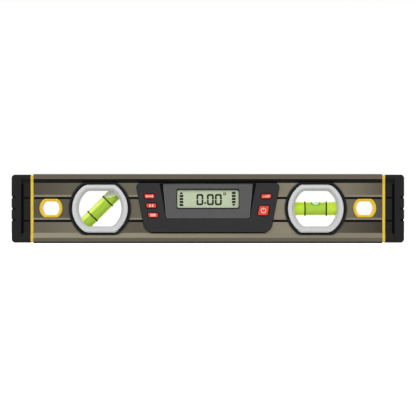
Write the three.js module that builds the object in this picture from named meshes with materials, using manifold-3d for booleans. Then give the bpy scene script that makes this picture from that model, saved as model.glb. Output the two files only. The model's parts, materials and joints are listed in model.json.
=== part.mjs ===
import * as THREE from 'three';
import { mergeVertices } from 'three/addons/utils/BufferGeometryUtils.js';
import Module from 'manifold-3d';

// A digital spirit level with two vials, in millimetres.
// X runs along the level, Z is up from the measuring base, and the display faces -Y.

const wasm = await Module();
wasm.setup();

// Clearances and cutting
const fitGap = 0.3;
const seatGap = 0.15;
const overrun = 3;
const arcSteps = 4;
const cornerSteps = 1;
const bumperSteps = 2;
const roundSides = 24;
const smallSides = 12;
const socketSides = 6;

// Whole level
const overallLength = 400;

// Section of the box profile, the same in front and behind
const footHeight = 10.6;
const footFlatTop = 5.5;
const footEdgeHeight = 1.5;
const footEdgeWidth = 0.9;
const webHeight = 51.5;
const headHeight = 8.4;
const headFlatHeight = 5;
const headEdge = 0.6;
const webRecess = 2.2;
const webThickness = 2.4;
const railThickness = 2.8;
const grooveWidth = 1.8;
const grooveDepth = 1.1;
const lipWidth = 2.3;
const lipRise = 0.5;
const middleBandHeight = 19.2;
const middleBandRise = 0.5;

// End caps and the coloured rings beside them
const capLength = 19.3;
const capInset = 0.6;
const bumperLength = 9.7;
const bumperCorner = 3.6;
const bumperSetback = 0.3;
const bumperEdge = 1;
const slotLength = 2.6;
const slotHeight = 51;
const slotDepth = 3;
const notchCount = 3;
const notchPitch = 11.5;
const notchHeight = 2;
const notchDepth = 1.2;
const notchReach = 4.1;
const spigotDepth = 6.4;
const ringThickness = 3;
const ringInset = 1.1;

// Hang holes
const hangHoleInset = 17.8;
const hangHoleRadius = 8.55;
const hangHoleHalfHeight = 6.8;
const bushWall = 1.3;
const bushLap = 1.8;
const bushFlange = 1;
const bushEdge = 0.5;

// Vial windows
const windowToHangHole = 49.9;
const openingRadius = 21.9;
const openingHalfHeight = 18.1;
const funnelWidth = 2.8;
const funnelDepth = 3.4;
const carrierRadius = 28.5;
const carrierHalfHeight = 24.1;
const carrierSetback = 0.3;
const frameBorder = 3.2;
const frameFlatBorder = 2.6;
const frameSetback = 0.2;
const frameEdge = 0.5;
const barrelWall = 1.4;
const barrelDepth = 4;

// Vials
const vialRadius = 7.4;
const vialLength = 50;
const vialWall = 0.9;
const vialEndWall = 2;
const plugLength = 3.3;
const lineSpacing = 21.8;
const lineWidth = 1.2;
const lineDepth = 0.3;
const bubbleLength = 10;
const bubbleDepth = 3.1;
const bubbleWidth = 7;
const diagonalAngle = Math.PI / 4;

// Display module, seen from the front
const moduleMidHalfWidth = 69;
const moduleSlope = 0.19;
const moduleTopCorner = 5;
const moduleBottomCorner = 9;
const moduleSetback = 0.2;
const moduleEdge = 0.6;
const moduleLap = 3.5;
const tubWall = 1.6;
const panelHeight = 35.2;
const panelBottomHalfWidth = 42.3;
const panelSlope = 0.096;
const panelCorner = 2.5;
const panelTopCorner = 0.8;
const panelSetback = 0.3;
const panelThickness = 1.6;
const panelTilt = 4.5 * Math.PI / 180;
const panelLedge = 1.5;
const panelLedgeDepth = 1.2;
const panelFlare = 4.6;
const panelFlareDepth = 4;
const surroundWall = 1.5;
const moduleRim = 0.8;

// Liquid crystal display
const displayRise = 19.7;
const displayWidth = 64.3;
const displayHeight = 20.6;
const displayCorner = 2.2;
const lensLap = 1.6;
const lensThickness = 1;
const cellLap = 2.2;
const cellThickness = 2;
const cellLedge = 5;
const backlightThickness = 1.5;
const connectorWidth = 2.4;
const connectorMargin = 4;

// Buttons, set out from the top of the module
const buttonLength = 11.5;
const buttonHeight = 5.8;
const buttonCorner = 1.9;
const buttonProud = 0.2;
const buttonCrown = 0.5;
const buttonFlange = 0.8;
const buttonFlangeThickness = 1;
const buttonSideMargin = 11.7;
const buttonFirstDrop = 13.9;
const buttonPitch = 9.6;
const largeButtonLength = 11.5;
const largeButtonHeight = 11;
const largeButtonDrop = 28.5;
const stemRadius = 1.5;
const switchSide = 5;
const switchHeight = 2.2;
const plungerRadius = 1.2;
const plungerHeight = 1.5;
const pressRoom = 0.8;

// Circuit board and what it carries
const boardThickness = 1.6;
const boardRoom = 0.4;
const boardGap = 0.4;
const tiltSensorSide = 12;
const tiltSensorHeight = 5;
const processorSide = 10;
const processorHeight = 1.5;
const processorDrop = 10;
const buzzerRadius = 6;
const buzzerHeight = 5;
const boardPartOffset = 40;
const buzzerDrop = 6;
const tiltSensorRise = 6;

// Batteries and their box
const batteryRadius = 5.25;
const batteryLength = 44.5;
const batteryNubRadius = 1.9;
const batteryNubHeight = 1.2;
const batterySpacing = 11.1;
const batteryBoxWall = 1.5;
const batteryBoxFloor = 1.2;
const boardToBox = 1;
const contactRoom = 3.2;
const contactThickness = 0.4;
const contactWidth = 9;
const contactHeight = 8.5;
const contactTongueWidth = 5;
const doorThickness = 1.6;
const doorCorner = 2;
const doorLap = 1;
const doorSetback = 0.1;
const doorEdge = 0.4;
const doorRibDepth = 1.4;
const doorRibWidth = 8;
const doorRibThickness = 0.9;
const thumbNotchRadius = 7;
const thumbNotchDepth = 0.7;
const depthSpare = 1.45;

// Screws that draw the two housings together
const screwRadius = 1.1;
const screwHeadRadius = 2.3;
const screwHeadHeight = 1.6;
const screwSocketRadius = 1.1;
const screwSocketDepth = 0.9;
const screwGrip = 5.5;
const bossWall = 1;
const upperScrewOffset = 47.5;
const upperScrewDrop = 8.8;
const lowerScrewOffset = 52;
const screwPostRoom = 0.4;

// Depth of the level, from the front of the display back to the battery door
const panelDrop = panelHeight * Math.sin(panelTilt);
const displayStackDepth = panelSetback + panelDrop
  + (panelThickness + lensThickness + cellThickness + backlightThickness + 3 * fitGap)
  * Math.cos(panelTilt);
const profileDepth = moduleSetback + displayStackDepth + boardGap + boardThickness + boardToBox
  + batteryBoxFloor + 2 * batteryRadius + 3 * fitGap + doorThickness + doorSetback + depthSpare;
const frontFace = -profileDepth / 2;
const backFace = profileDepth / 2;
const webFace = frontFace + webRecess;
const webBack = webFace + webThickness;
const moduleFace = frontFace + moduleSetback;
const panelFace = moduleFace + panelSetback;
const boardFront = moduleFace + displayStackDepth + boardGap;
const boardBack = boardFront + boardThickness;
const boxFront = boardBack + boardToBox;
const tubEnd = boxFront - fitGap;
const batteryAxis = boxFront + batteryBoxFloor + fitGap + batteryRadius;
const doorFace = backFace - doorSetback;
const doorSeat = doorFace - doorThickness - fitGap;

// Heights and lengths
const profileHeight = footHeight + webHeight + headHeight;
const webTop = footHeight + webHeight;
const middleHeight = profileHeight / 2;
const bandHeight = middleHeight + middleBandRise;
const lowerGroove = bandHeight - middleBandHeight / 2 - lipWidth - grooveWidth;
const upperGroove = bandHeight + middleBandHeight / 2;
const profileEnd = overallLength / 2 - capLength - ringThickness;
const sleeveStart = profileEnd + ringThickness;
const hangHoleOffset = profileEnd - hangHoleInset;
const windowOffset = hangHoleOffset - windowToHangHole;
const bumperStart = overallLength / 2 - bumperLength;
const moduleBottom = footHeight + fitGap;
const moduleTop = webTop - fitGap;
const moduleMiddle = (moduleBottom + moduleTop) / 2;
const panelFoot = moduleTop - moduleRim - fitGap - panelHeight * Math.cos(panelTilt);

// Materials, with the colours of the photographed level
function finish(color, roughness, metalness) {
  return new THREE.MeshStandardMaterial({ color, roughness, metalness });
}
const aluminium = finish(0x6e6a5e, 0.42, 0.8);
const capRubber = finish(0x2b2f33, 0.75, 0);
const yellowPlastic = finish(0xe6c83c, 0.45, 0);
const blackPlastic = finish(0x1d1c1a, 0.5, 0);
const carrierPlastic = finish(0xd4d4d2, 0.4, 0);
const clearAcrylic = finish(0xe6f2d8, 0.08, 0);
const vialSpirit = finish(0xb8d94a, 0.15, 0);
const vialAir = finish(0xc8f5dc, 0.05, 0);
const vialLine = finish(0x101010, 0.5, 0);
const housingPlastic = finish(0x373738, 0.55, 0);
const panelPlastic = finish(0x5d5d5f, 0.5, 0);
const displayGlass = finish(0xbec6ad, 0.12, 0);
const reflectorFoil = finish(0xd8dccb, 0.3, 0);
const connectorRubber = finish(0x8a5f6c, 0.6, 0);
const redPlastic = finish(0xd8322a, 0.45, 0);
const boardLaminate = finish(0x1f5a34, 0.5, 0);
const chipResin = finish(0x1a1a1c, 0.5, 0);
const switchSteel = finish(0xb8bcc0, 0.35, 0.9);
const batterySleeve = finish(0x3a4a6a, 0.4, 0.3);
const springSteel = finish(0xc9ccd0, 0.3, 1);
const screwSteel = finish(0x4a4c50, 0.35, 0.9);

// Solids

/** Merges the shared vertices of a closed geometry and drops triangles that have no area. */
function mergedGeometry(geometry) {
  const bare = geometry.clone();
  bare.deleteAttribute('normal');
  bare.deleteAttribute('uv');
  const merged = mergeVertices(bare);
  const corners = merged.index.array;
  const kept = [];
  for (let i = 0; i < corners.length; i += 3) {
    const [a, b, c] = [corners[i], corners[i + 1], corners[i + 2]];
    if (a !== b && b !== c && c !== a) {
      kept.push(a, b, c);
    }
  }
  return merged.setIndex(kept);
}

/** Turns a closed geometry into a solid that can be joined and cut. */
function solidOf(geometry) {
  const closed = geometry.userData.isClosed ? geometry : mergedGeometry(geometry);
  return new wasm.Manifold(new wasm.Mesh({
    numProp: 3,
    vertProperties: closed.attributes.position.array,
    triVerts: Uint32Array.from(closed.index.array),
  }));
}

/** Turns a solid back into a geometry. */
function geometryOf(solid) {
  const { vertProperties, triVerts } = solid.getMesh();
  const geometry = new THREE.BufferGeometry();
  geometry.setAttribute('position', new THREE.BufferAttribute(vertProperties, 3));
  geometry.setIndex(new THREE.BufferAttribute(triVerts, 1));
  geometry.computeVertexNormals();
  geometry.userData.isClosed = true;
  return geometry;
}

function join(...geometries) {
  return geometryOf(geometries.map(solidOf).reduce((whole, next) => whole.add(next)));
}

function cut(geometry, ...tools) {
  const start = solidOf(geometry);
  return geometryOf(tools.map(solidOf).reduce((whole, next) => whole.subtract(next), start));
}

function common(first, second) {
  return geometryOf(solidOf(first).intersect(solidOf(second)));
}

// Outlines

/** A circle whose top and bottom are cut flat. */
function flattenedCircle(radius, halfHeight) {
  const reach = Math.asin(halfHeight / radius);
  const shape = new THREE.Shape();
  shape.absarc(0, 0, radius, -reach, reach, false);
  shape.absarc(0, 0, radius, Math.PI - reach, Math.PI + reach, false);
  return shape;
}

/** A convex outline with a round at each corner, given counter-clockwise as [x, y, radius]. */
function roundedOutline(corners) {
  const shape = new THREE.Shape();
  corners.forEach(([x, y, radius], i) => {
    const corner = new THREE.Vector2(x, y);
    const [beforeX, beforeY] = corners[(i + corners.length - 1) % corners.length];
    const [afterX, afterY] = corners[(i + 1) % corners.length];
    const back = new THREE.Vector2(beforeX, beforeY).sub(corner).normalize();
    const ahead = new THREE.Vector2(afterX, afterY).sub(corner).normalize();
    const halfAngle = Math.acos(back.dot(ahead)) / 2;
    const toCentre = back.clone().add(ahead).setLength(radius / Math.sin(halfAngle));
    const centre = corner.clone().add(toCentre);
    const tangent = radius / Math.tan(halfAngle);
    const start = corner.clone().addScaledVector(back, tangent).sub(centre);
    const end = corner.clone().addScaledVector(ahead, tangent).sub(centre);
    shape.absarc(centre.x, centre.y, radius, start.angle(), end.angle(), false);
  });
  return shape;
}

function roundedRectangle(x, y, width, height, radius) {
  const [left, right] = [x - width / 2, x + width / 2];
  const [low, high] = [y - height / 2, y + height / 2];
  return roundedOutline([
    [left, low, radius], [right, low, radius], [right, high, radius], [left, high, radius],
  ]);
}

/** Half width of the display module at a height. */
function moduleHalfWidth(height) {
  return moduleMidHalfWidth + (height - moduleMiddle) * moduleSlope;
}

/** Outline of the display module, which is wider at its top, drawn in by its insets. */
function moduleOutline(inset, topInset = inset) {
  const side = inset * Math.hypot(1, moduleSlope);
  const [low, high] = [moduleBottom + inset, moduleTop - topInset];
  const [lowX, highX] = [moduleHalfWidth(low) - side, moduleHalfWidth(high) - side];
  const lowCorner = Math.max(moduleBottomCorner - inset, moduleEdge);
  const highCorner = Math.max(moduleTopCorner - inset, moduleEdge);
  return roundedOutline([
    [-lowX, low, lowCorner], [lowX, low, lowCorner],
    [highX, high, highCorner], [-highX, high, highCorner],
  ]);
}

/** Outline of the tub that reaches into the profile, drawn in by an inset. */
function tubOutline(inset) {
  return moduleOutline(moduleLap + fitGap + inset, inset);
}

/** Outline of the tilted panel in its own plane, its foot at zero, grown by a margin. */
function panelOutline(margin) {
  const [low, high] = [-margin, panelHeight + margin];
  const lowX = panelBottomHalfWidth + low * panelSlope + margin;
  const highX = panelBottomHalfWidth + high * panelSlope + margin;
  return roundedOutline([
    [-lowX, low, panelCorner], [lowX, low, panelCorner],
    [highX, high, panelTopCorner], [-highX, high, panelTopCorner],
  ]);
}

/** Outline of a button that leans with the side of the module, grown by a margin. */
function buttonOutline({ x, z, length, height }, margin) {
  const lean = Math.sign(x) * moduleSlope * (height / 2 + margin);
  const reach = length / 2 + margin;
  const [low, high] = [z - height / 2 - margin, z + height / 2 + margin];
  const corner = buttonCorner + margin;
  return roundedOutline([
    [x - reach - lean, low, corner], [x + reach - lean, low, corner],
    [x + reach + lean, high, corner], [x - reach + lean, high, corner],
  ]);
}

/** Mirrors the points of one half of a section to the other half and closes it. */
function mirroredSection(half) {
  const otherHalf = half.map(([y, z]) => [-y, z]).reverse();
  return new THREE.Shape([...half, ...otherHalf].map(([y, z]) => new THREE.Vector2(y, z)));
}

/** Outer section of the profile, from base to top, drawn in by an inset. */
function outerSection(inset, grooved) {
  const edge = profileDepth / 2 - inset;
  const web = edge - webRecess;
  const groovePoints = [lowerGroove, upperGroove].flatMap((foot) => [
    [web, foot],
    [web - grooveDepth, foot],
    [web - grooveDepth, foot + grooveWidth],
    [web + lipRise, foot + grooveWidth],
    [web, foot + grooveWidth + lipWidth],
  ]);
  return mirroredSection([
    [edge - footEdgeWidth, inset],
    [edge, footEdgeHeight],
    [edge, footFlatTop],
    [web, footHeight],
    ...(grooved ? groovePoints : []),
    [web, webTop],
    [edge, profileHeight - headFlatHeight],
    [edge, profileHeight - inset - headEdge],
    [edge - headEdge, profileHeight - inset],
  ]);
}

/** Hollow of the profile, drawn in by an inset. */
function hollowSection(inset) {
  const rail = profileDepth / 2 - webThickness - inset;
  const web = rail - webRecess;
  return mirroredSection([
    [rail, railThickness + inset],
    [rail, footFlatTop],
    [web, footHeight],
    [web, webTop],
    [rail, profileHeight - headFlatHeight],
    [rail, profileHeight - railThickness - inset],
  ]);
}

// Bodies from outlines

/** Extrudes a front-view outline from one depth to another. */
function slab(shape, nearY, farY, steps = arcSteps) {
  const geometry = new THREE.ExtrudeGeometry(shape, {
    depth: farY - nearY, bevelEnabled: false, curveSegments: steps,
  });
  return geometry.rotateX(Math.PI / 2).translate(0, farY, 0);
}

/** Extrudes a front-view outline with a chamfer round both its faces. */
function bevelledSlab(shape, nearY, farY, edge, steps = arcSteps) {
  const geometry = new THREE.ExtrudeGeometry(shape, {
    depth: farY - nearY - 2 * edge,
    curveSegments: steps,
    bevelThickness: edge,
    bevelSize: edge,
    bevelOffset: -edge,
    bevelSegments: 1,
  });
  return geometry.rotateX(Math.PI / 2).translate(0, farY - edge, 0);
}

/** Extrudes a front-view outline with a chamfer round the face that is further out. */
function chamferedSlab(shape, nearY, farY, edge, steps = arcSteps) {
  const outerIsNear = Math.abs(nearY) > Math.abs(farY);
  const long = outerIsNear
    ? bevelledSlab(shape, nearY, farY + 2 * edge, edge, steps)
    : bevelledSlab(shape, nearY - 2 * edge, farY, edge, steps);
  return common(long, slab(shape, nearY, farY, steps));
}

/** Extrudes a section along the level. */
function bar(section, startX, endX) {
  const geometry = new THREE.ExtrudeGeometry(section, {
    depth: endX - startX, bevelEnabled: false, curveSegments: arcSteps,
  });
  const axes = new THREE.Matrix4().makeBasis(
    new THREE.Vector3(0, 1, 0), new THREE.Vector3(0, 0, 1), new THREE.Vector3(1, 0, 0),
  );
  return geometry.applyMatrix4(axes).translate(startX, 0, 0);
}

/** A box between two corners. */
function block(startX, endX, nearY, farY, low, high) {
  const geometry = new THREE.BoxGeometry(endX - startX, farY - nearY, high - low);
  return geometry.translate((startX + endX) / 2, (nearY + farY) / 2, (low + high) / 2);
}

/** A cylinder that runs from one depth to another. */
function pin(radius, nearY, farY, x, z, sides = smallSides) {
  const geometry = new THREE.CylinderGeometry(radius, radius, farY - nearY, sides);
  return geometry.translate(x, (nearY + farY) / 2, z);
}

/** Turns a profile of [radius, place] about the X axis, from its low end to its high end. */
function turned(profile, sides = roundSides) {
  const points = profile.map(([radius, place]) => new THREE.Vector2(radius, place));
  return new THREE.LatheGeometry(points, sides).rotateZ(-Math.PI / 2);
}

/** A round rod along X, centred at the origin of its group. */
function rod(radius, startX, endX, sides = roundSides) {
  const geometry = new THREE.CylinderGeometry(radius, radius, endX - startX, sides);
  return geometry.rotateZ(-Math.PI / 2).translate((startX + endX) / 2, 0, 0);
}

function piece(name, geometry, material) {
  const mesh = new THREE.Mesh(geometry, material);
  mesh.name = name;
  return mesh;
}

// Windows and hang holes, where the profile is cut and parts are fitted

const windows = [
  { name: 'diagonal', x: -windowOffset, angle: diagonalAngle },
  { name: 'level', x: windowOffset, angle: 0 },
];
const hangHoles = [
  { name: 'left', x: -hangHoleOffset },
  { name: 'right', x: hangHoleOffset },
];
const faces = [
  { name: 'front', side: -1 },
  { name: 'back', side: 1 },
];

/** A slab between two distances from the middle plane, on the front or the back. */
function facing(side, build, outerDistance, innerDistance) {
  return side < 0 ? build(-outerDistance, -innerDistance) : build(innerDistance, outerDistance);
}

/** A flat-topped round slab at a window or hang hole. */
function roundedPlate(x, z, radius, halfHeight, nearY, farY) {
  return slab(flattenedCircle(radius, halfHeight), nearY, farY).translate(x, 0, z);
}

function chamferedPlate(x, z, radius, halfHeight, nearY, farY, edge) {
  const plate = chamferedSlab(flattenedCircle(radius, halfHeight), nearY, farY, edge);
  return plate.translate(x, 0, z);
}

/** A cut all through the level, in front and behind. */
function through(x, z, radius, halfHeight) {
  return roundedPlate(x, z, radius, halfHeight, frontFace - overrun, backFace + overrun);
}

/** Two pockets, front and back, that clear a plate standing on the webs. */
function webPockets(x, z, radius, halfHeight) {
  return faces.map(({ side }) => facing(
    side,
    (nearY, farY) => roundedPlate(x, z, radius, halfHeight, nearY, farY),
    backFace + overrun,
    -webFace,
  ));
}

const barrelRadius = carrierRadius + fitGap + barrelWall;
const barrelHalfHeight = carrierHalfHeight + fitGap + barrelWall;
const frameRadius = carrierRadius + frameBorder;
const frameHalfHeight = carrierHalfHeight + frameFlatBorder;
const bushRadius = hangHoleRadius + bushWall;
const bushHalfHeight = hangHoleHalfHeight + bushWall;
const bushFlangeRadius = bushRadius + bushLap;
const bushFlangeHalfHeight = middleBandHeight / 2 - seatGap;

function boxProfile() {
  const length = bar(outerSection(0, true), -profileEnd, profileEnd);
  const hollow = bar(hollowSection(0), -profileEnd - overrun, profileEnd + overrun);
  const windowCuts = windows.flatMap(({ x }) => [
    through(x, middleHeight, barrelRadius + fitGap, barrelHalfHeight + fitGap),
    ...webPockets(x, middleHeight, frameRadius + fitGap, frameHalfHeight + fitGap),
  ]);
  const hangCuts = hangHoles.map(
    ({ x }) => through(x, bandHeight, bushRadius + fitGap, bushHalfHeight + fitGap),
  );
  const moduleCuts = [
    slab(tubOutline(-fitGap), frontFace - overrun, backFace + overrun),
    slab(moduleOutline(-fitGap), frontFace - overrun, webFace),
    slab(moduleOutline(-fitGap), -webFace, backFace + overrun),
  ];
  return piece(
    'box_profile', cut(length, hollow, ...windowCuts, ...hangCuts, ...moduleCuts), aluminium,
  );
}

// End caps

/** The bumper at the end of a cap: a block with rounded ends and chamfered faces. */
function bumper(reach) {
  const end = overallLength / 2;
  const [low, high] = [capInset, profileHeight - capInset];
  const innerCorner = bumperEdge + seatGap;
  const outline = roundedOutline([
    [bumperStart, low, innerCorner], [end, low, bumperCorner],
    [end, high, bumperCorner], [bumperStart, high, innerCorner],
  ]);
  return bevelledSlab(outline, -reach, reach, bumperEdge, bumperSteps);
}

function endCap(name, turn) {
  const end = overallLength / 2;
  const reach = profileDepth / 2 - bumperSetback;
  const sleeve = bar(outerSection(capInset, true), sleeveStart, bumperStart);
  const spigot = bar(hollowSection(fitGap), profileEnd - spigotDepth, sleeveStart);
  const slotX = bumperStart - slotLength / 2;
  const slotOutline = roundedRectangle(
    slotX, middleHeight, slotLength, slotHeight, slotLength / 2 - seatGap,
  );
  const slots = faces.map(({ side }) => facing(
    side, (nearY, farY) => slab(slotOutline, nearY, farY), backFace, -webFace - slotDepth,
  ));
  const notches = Array.from({ length: notchCount }, (_, i) => {
    const z = middleHeight + (i - (notchCount - 1) / 2) * notchPitch;
    const [low, high] = [z - notchHeight / 2, z + notchHeight / 2];
    return [
      block(end - notchDepth, end + overrun, -backFace, backFace, low, high),
      block(end - notchReach, end + overrun, -backFace, -reach + notchDepth, low, high),
      block(end - notchReach, end + overrun, reach - notchDepth, backFace, low, high),
    ];
  }).flat();
  const mesh = piece(name, cut(join(bumper(reach), sleeve, spigot), ...slots, ...notches), capRubber);
  mesh.rotation.z = turn;
  return mesh;
}

function endRing(name, turn) {
  const plate = bar(outerSection(ringInset, false), profileEnd, sleeveStart);
  const hole = bar(hollowSection(0), profileEnd - overrun, sleeveStart + overrun);
  const mesh = piece(name, cut(plate, hole), yellowPlastic);
  mesh.rotation.z = turn;
  return mesh;
}

// Hang hole bushes, one pressed in from each face and meeting in the middle

function hangBush(hole, face) {
  const flange = facing(
    face.side,
    (nearY, farY) => chamferedPlate(
      hole.x, bandHeight, bushFlangeRadius, bushFlangeHalfHeight, nearY, farY, bushEdge,
    ),
    -webFace + bushFlange,
    -webFace,
  );
  const barrel = facing(
    face.side,
    (nearY, farY) => roundedPlate(hole.x, bandHeight, bushRadius, bushHalfHeight, nearY, farY),
    -webFace,
    0,
  );
  const bore = through(hole.x, bandHeight, hangHoleRadius, hangHoleHalfHeight);
  return piece(
    `${hole.name}_hang_bush_${face.name}`, cut(join(flange, barrel), bore), yellowPlastic,
  );
}

// Vial windows

function windowFrame(window, face) {
  const flange = facing(
    face.side,
    (nearY, farY) => chamferedPlate(
      window.x, middleHeight, frameRadius, frameHalfHeight, nearY, farY, frameEdge,
    ),
    backFace - frameSetback,
    -webFace,
  );
  const barrel = facing(
    face.side,
    (nearY, farY) => roundedPlate(
      window.x, middleHeight, barrelRadius, barrelHalfHeight, nearY, farY,
    ),
    -webFace,
    -webFace - barrelDepth,
  );
  const bore = through(
    window.x, middleHeight, carrierRadius + fitGap, carrierHalfHeight + fitGap,
  );
  return piece(
    `${window.name}_window_frame_${face.name}`, cut(join(flange, barrel), bore), blackPlastic,
  );
}

/** One half of the carrier that clamps a vial between its two halves. */
function vialCarrier(window, face) {
  const outerY = backFace - frameSetback - carrierSetback;
  const body = facing(
    face.side,
    (nearY, farY) => roundedPlate(
      window.x, middleHeight, carrierRadius, carrierHalfHeight, nearY, farY,
    ),
    outerY,
    0,
  );
  const opening = through(window.x, middleHeight, openingRadius, openingHalfHeight);
  const funnel = new THREE.ExtrudeGeometry(flattenedCircle(openingRadius, openingHalfHeight), {
    depth: overrun,
    curveSegments: arcSteps,
    bevelThickness: funnelDepth,
    bevelSize: funnelWidth,
    bevelSegments: 1,
  });
  funnel.rotateX(Math.PI / 2 * -face.side);
  funnel.translate(window.x, face.side * outerY, middleHeight);
  const seat = rod(vialRadius + fitGap, -vialLength / 2 - fitGap, vialLength / 2 + fitGap);
  seat.rotateY(-window.angle).translate(window.x, 0, middleHeight);
  return piece(
    `${window.name}_vial_carrier_${face.name}`, cut(body, opening, funnel, seat), carrierPlastic,
  );
}

const boreRadius = vialRadius - vialWall;
const spiritRadius = boreRadius - fitGap;
const boreStart = -vialLength / 2 + vialEndWall;
const boreEnd = vialLength / 2 - plugLength;
const bubbleHeight = boreRadius - fitGap - bubbleDepth / 2;
const bubbleTravel = boreEnd - fitGap - bubbleLength / 2 - fitGap;

function vialTube(name) {
  const groove = (middle) => [
    [vialRadius, middle - lineWidth / 2 - seatGap],
    [vialRadius - lineDepth - seatGap, middle - lineWidth / 2 - seatGap],
    [vialRadius - lineDepth - seatGap, middle + lineWidth / 2 + seatGap],
    [vialRadius, middle + lineWidth / 2 + seatGap],
  ];
  const profile = [
    [0, -vialLength / 2],
    [vialRadius, -vialLength / 2],
    ...groove(-lineSpacing / 2),
    ...groove(lineSpacing / 2),
    [vialRadius, vialLength / 2],
    [boreRadius, vialLength / 2],
    [boreRadius, boreStart],
    [0, boreStart],
  ];
  return piece(name, turned(profile), clearAcrylic);
}

function vialLineRing(name, middle) {
  const [start, end] = [middle - lineWidth / 2, middle + lineWidth / 2];
  const [inner, outer] = [vialRadius - lineDepth, vialRadius];
  const profile = [[inner, start], [outer, start], [outer, end], [inner, end], [inner, start]];
  return piece(name, turned(profile), vialLine);
}

/** The spirit, with the channel along its top that the bubble runs in. */
function spirit(name) {
  const body = rod(spiritRadius, boreStart + fitGap, boreEnd - fitGap);
  const channel = rod(1, boreStart, boreEnd, smallSides);
  channel.scale(1, bubbleDepth / 2 + fitGap, bubbleWidth / 2 + fitGap);
  channel.rotateX(Math.PI / 2).translate(0, 0, bubbleHeight);
  return piece(name, cut(body, channel), vialSpirit);
}

function bubble(name, place) {
  const ball = new THREE.SphereGeometry(1, smallSides, smallSides / 2);
  ball.scale(bubbleLength / 2, bubbleDepth / 2, bubbleWidth / 2).rotateX(Math.PI / 2);
  const mesh = piece(name, ball, vialAir);
  mesh.position.set(place, 0, bubbleHeight);
  return mesh;
}

/** A vial in a group of its own, its axis along X until the group is turned. */
function vial(window) {
  const bubblePlace = window.angle > 0 ? bubbleTravel : 0;
  const plug = rod(spiritRadius, boreEnd, vialLength / 2);
  const group = new THREE.Group();
  group.add(
    vialTube(`${window.name}_vial_tube`),
    piece(`${window.name}_vial_plug`, plug, clearAcrylic),
    vialLineRing(`${window.name}_vial_line_a`, -lineSpacing / 2),
    vialLineRing(`${window.name}_vial_line_b`, lineSpacing / 2),
    spirit(`${window.name}_vial_spirit`),
    bubble(`${window.name}_vial_bubble`, bubblePlace),
  );
  group.position.set(window.x, 0, middleHeight);
  group.rotation.y = -window.angle;
  return group;
}

// Display module

const buttons = [
  ...['upper', 'middle', 'lower'].map((row, i) => ({
    name: `${row}_left_button`,
    side: -1,
    drop: buttonFirstDrop + i * buttonPitch,
    length: buttonLength,
    height: buttonHeight,
  })),
  {
    name: 'small_right_button',
    side: 1,
    drop: buttonFirstDrop,
    length: buttonLength,
    height: buttonHeight,
  },
  {
    name: 'large_right_button',
    side: 1,
    drop: largeButtonDrop,
    length: largeButtonLength,
    height: largeButtonHeight,
  },
].map((button) => {
  const z = moduleTop - button.drop;
  return { ...button, z, x: button.side * (moduleHalfWidth(z) - buttonSideMargin) };
});

const postRadius = screwHeadRadius + fitGap + bossWall;
const lowerScrewHeight = moduleBottom + moduleLap + fitGap + tubWall + postRadius + screwPostRoom;
const screws = [
  { x: -upperScrewOffset, z: moduleTop - upperScrewDrop },
  { x: upperScrewOffset, z: moduleTop - upperScrewDrop },
  { x: -lowerScrewOffset, z: lowerScrewHeight },
  { x: lowerScrewOffset, z: lowerScrewHeight },
];
const bossRadius = screwRadius + fitGap + bossWall;
const bossEnd = boardFront - fitGap;
const headSeat = backFace - moduleSetback - screwHeadHeight - fitGap;
const screwTip = bossEnd - screwGrip;

/** Places a geometry that is drawn in the panel's plane, facing out along its Z. */
function panelMatrix() {
  const turn = new THREE.Matrix4().makeRotationX(Math.PI / 2 - panelTilt);
  return turn.setPosition(0, panelFace, panelFoot);
}

/** Extrudes an outline of the panel's plane between two depths below its face. */
function panelSlab(shape, topDepth, bottomDepth, steps = cornerSteps) {
  const geometry = new THREE.ExtrudeGeometry(shape, {
    depth: bottomDepth - topDepth, bevelEnabled: false, curveSegments: steps,
  });
  return geometry.translate(0, 0, -bottomDepth);
}

function displayHousing() {
  const wall = chamferedSlab(moduleOutline(0), moduleFace, webFace, moduleEdge);
  const tub = cut(
    slab(tubOutline(0), webFace, tubEnd),
    slab(tubOutline(tubWall), webFace, tubEnd + overrun),
  );
  const surroundEnd = panelFace + panelDrop + panelThickness + panelLedgeDepth;
  const surround = panelSlab(panelOutline(surroundWall + panelFlare), 0, panelFlareDepth);
  surround.applyMatrix4(panelMatrix());
  const surroundRoom = slab(tubOutline(0), webFace, surroundEnd);
  const bosses = screws.map(({ x, z }) => pin(bossRadius, webFace, bossEnd, x, z));
  const body = join(wall, tub, common(surround, surroundRoom), ...bosses);

  const flare = new THREE.ExtrudeGeometry(panelOutline(fitGap), {
    depth: overrun,
    curveSegments: cornerSteps,
    bevelThickness: panelFlareDepth,
    bevelSize: panelFlare,
    bevelSegments: 1,
  });
  flare.translate(0, 0, panelFlareDepth).applyMatrix4(panelMatrix());
  const rim = moduleTop - moduleRim;
  const belowRim = block(-profileEnd, profileEnd, frontFace - overrun, backFace, 0, rim);
  const pocket = panelSlab(panelOutline(fitGap), -seatGap, panelThickness + fitGap);
  const window = panelSlab(panelOutline(-panelLedge), 0, profileDepth);
  const buttonHoles = buttons.flatMap((button) => [
    slab(buttonOutline(button, fitGap), frontFace - overrun, webFace, cornerSteps),
    slab(buttonOutline(button, buttonFlange + fitGap), webFace, boxFront, cornerSteps),
  ]);
  const pilotHoles = screws.map(
    ({ x, z }) => pin(screwRadius + fitGap, screwTip - fitGap, boxFront, x, z),
  );
  return piece('display_housing', cut(
    body,
    common(flare, belowRim),
    pocket.applyMatrix4(panelMatrix()),
    window.applyMatrix4(panelMatrix()),
    ...buttonHoles,
    ...pilotHoles,
  ), housingPlastic);
}

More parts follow.
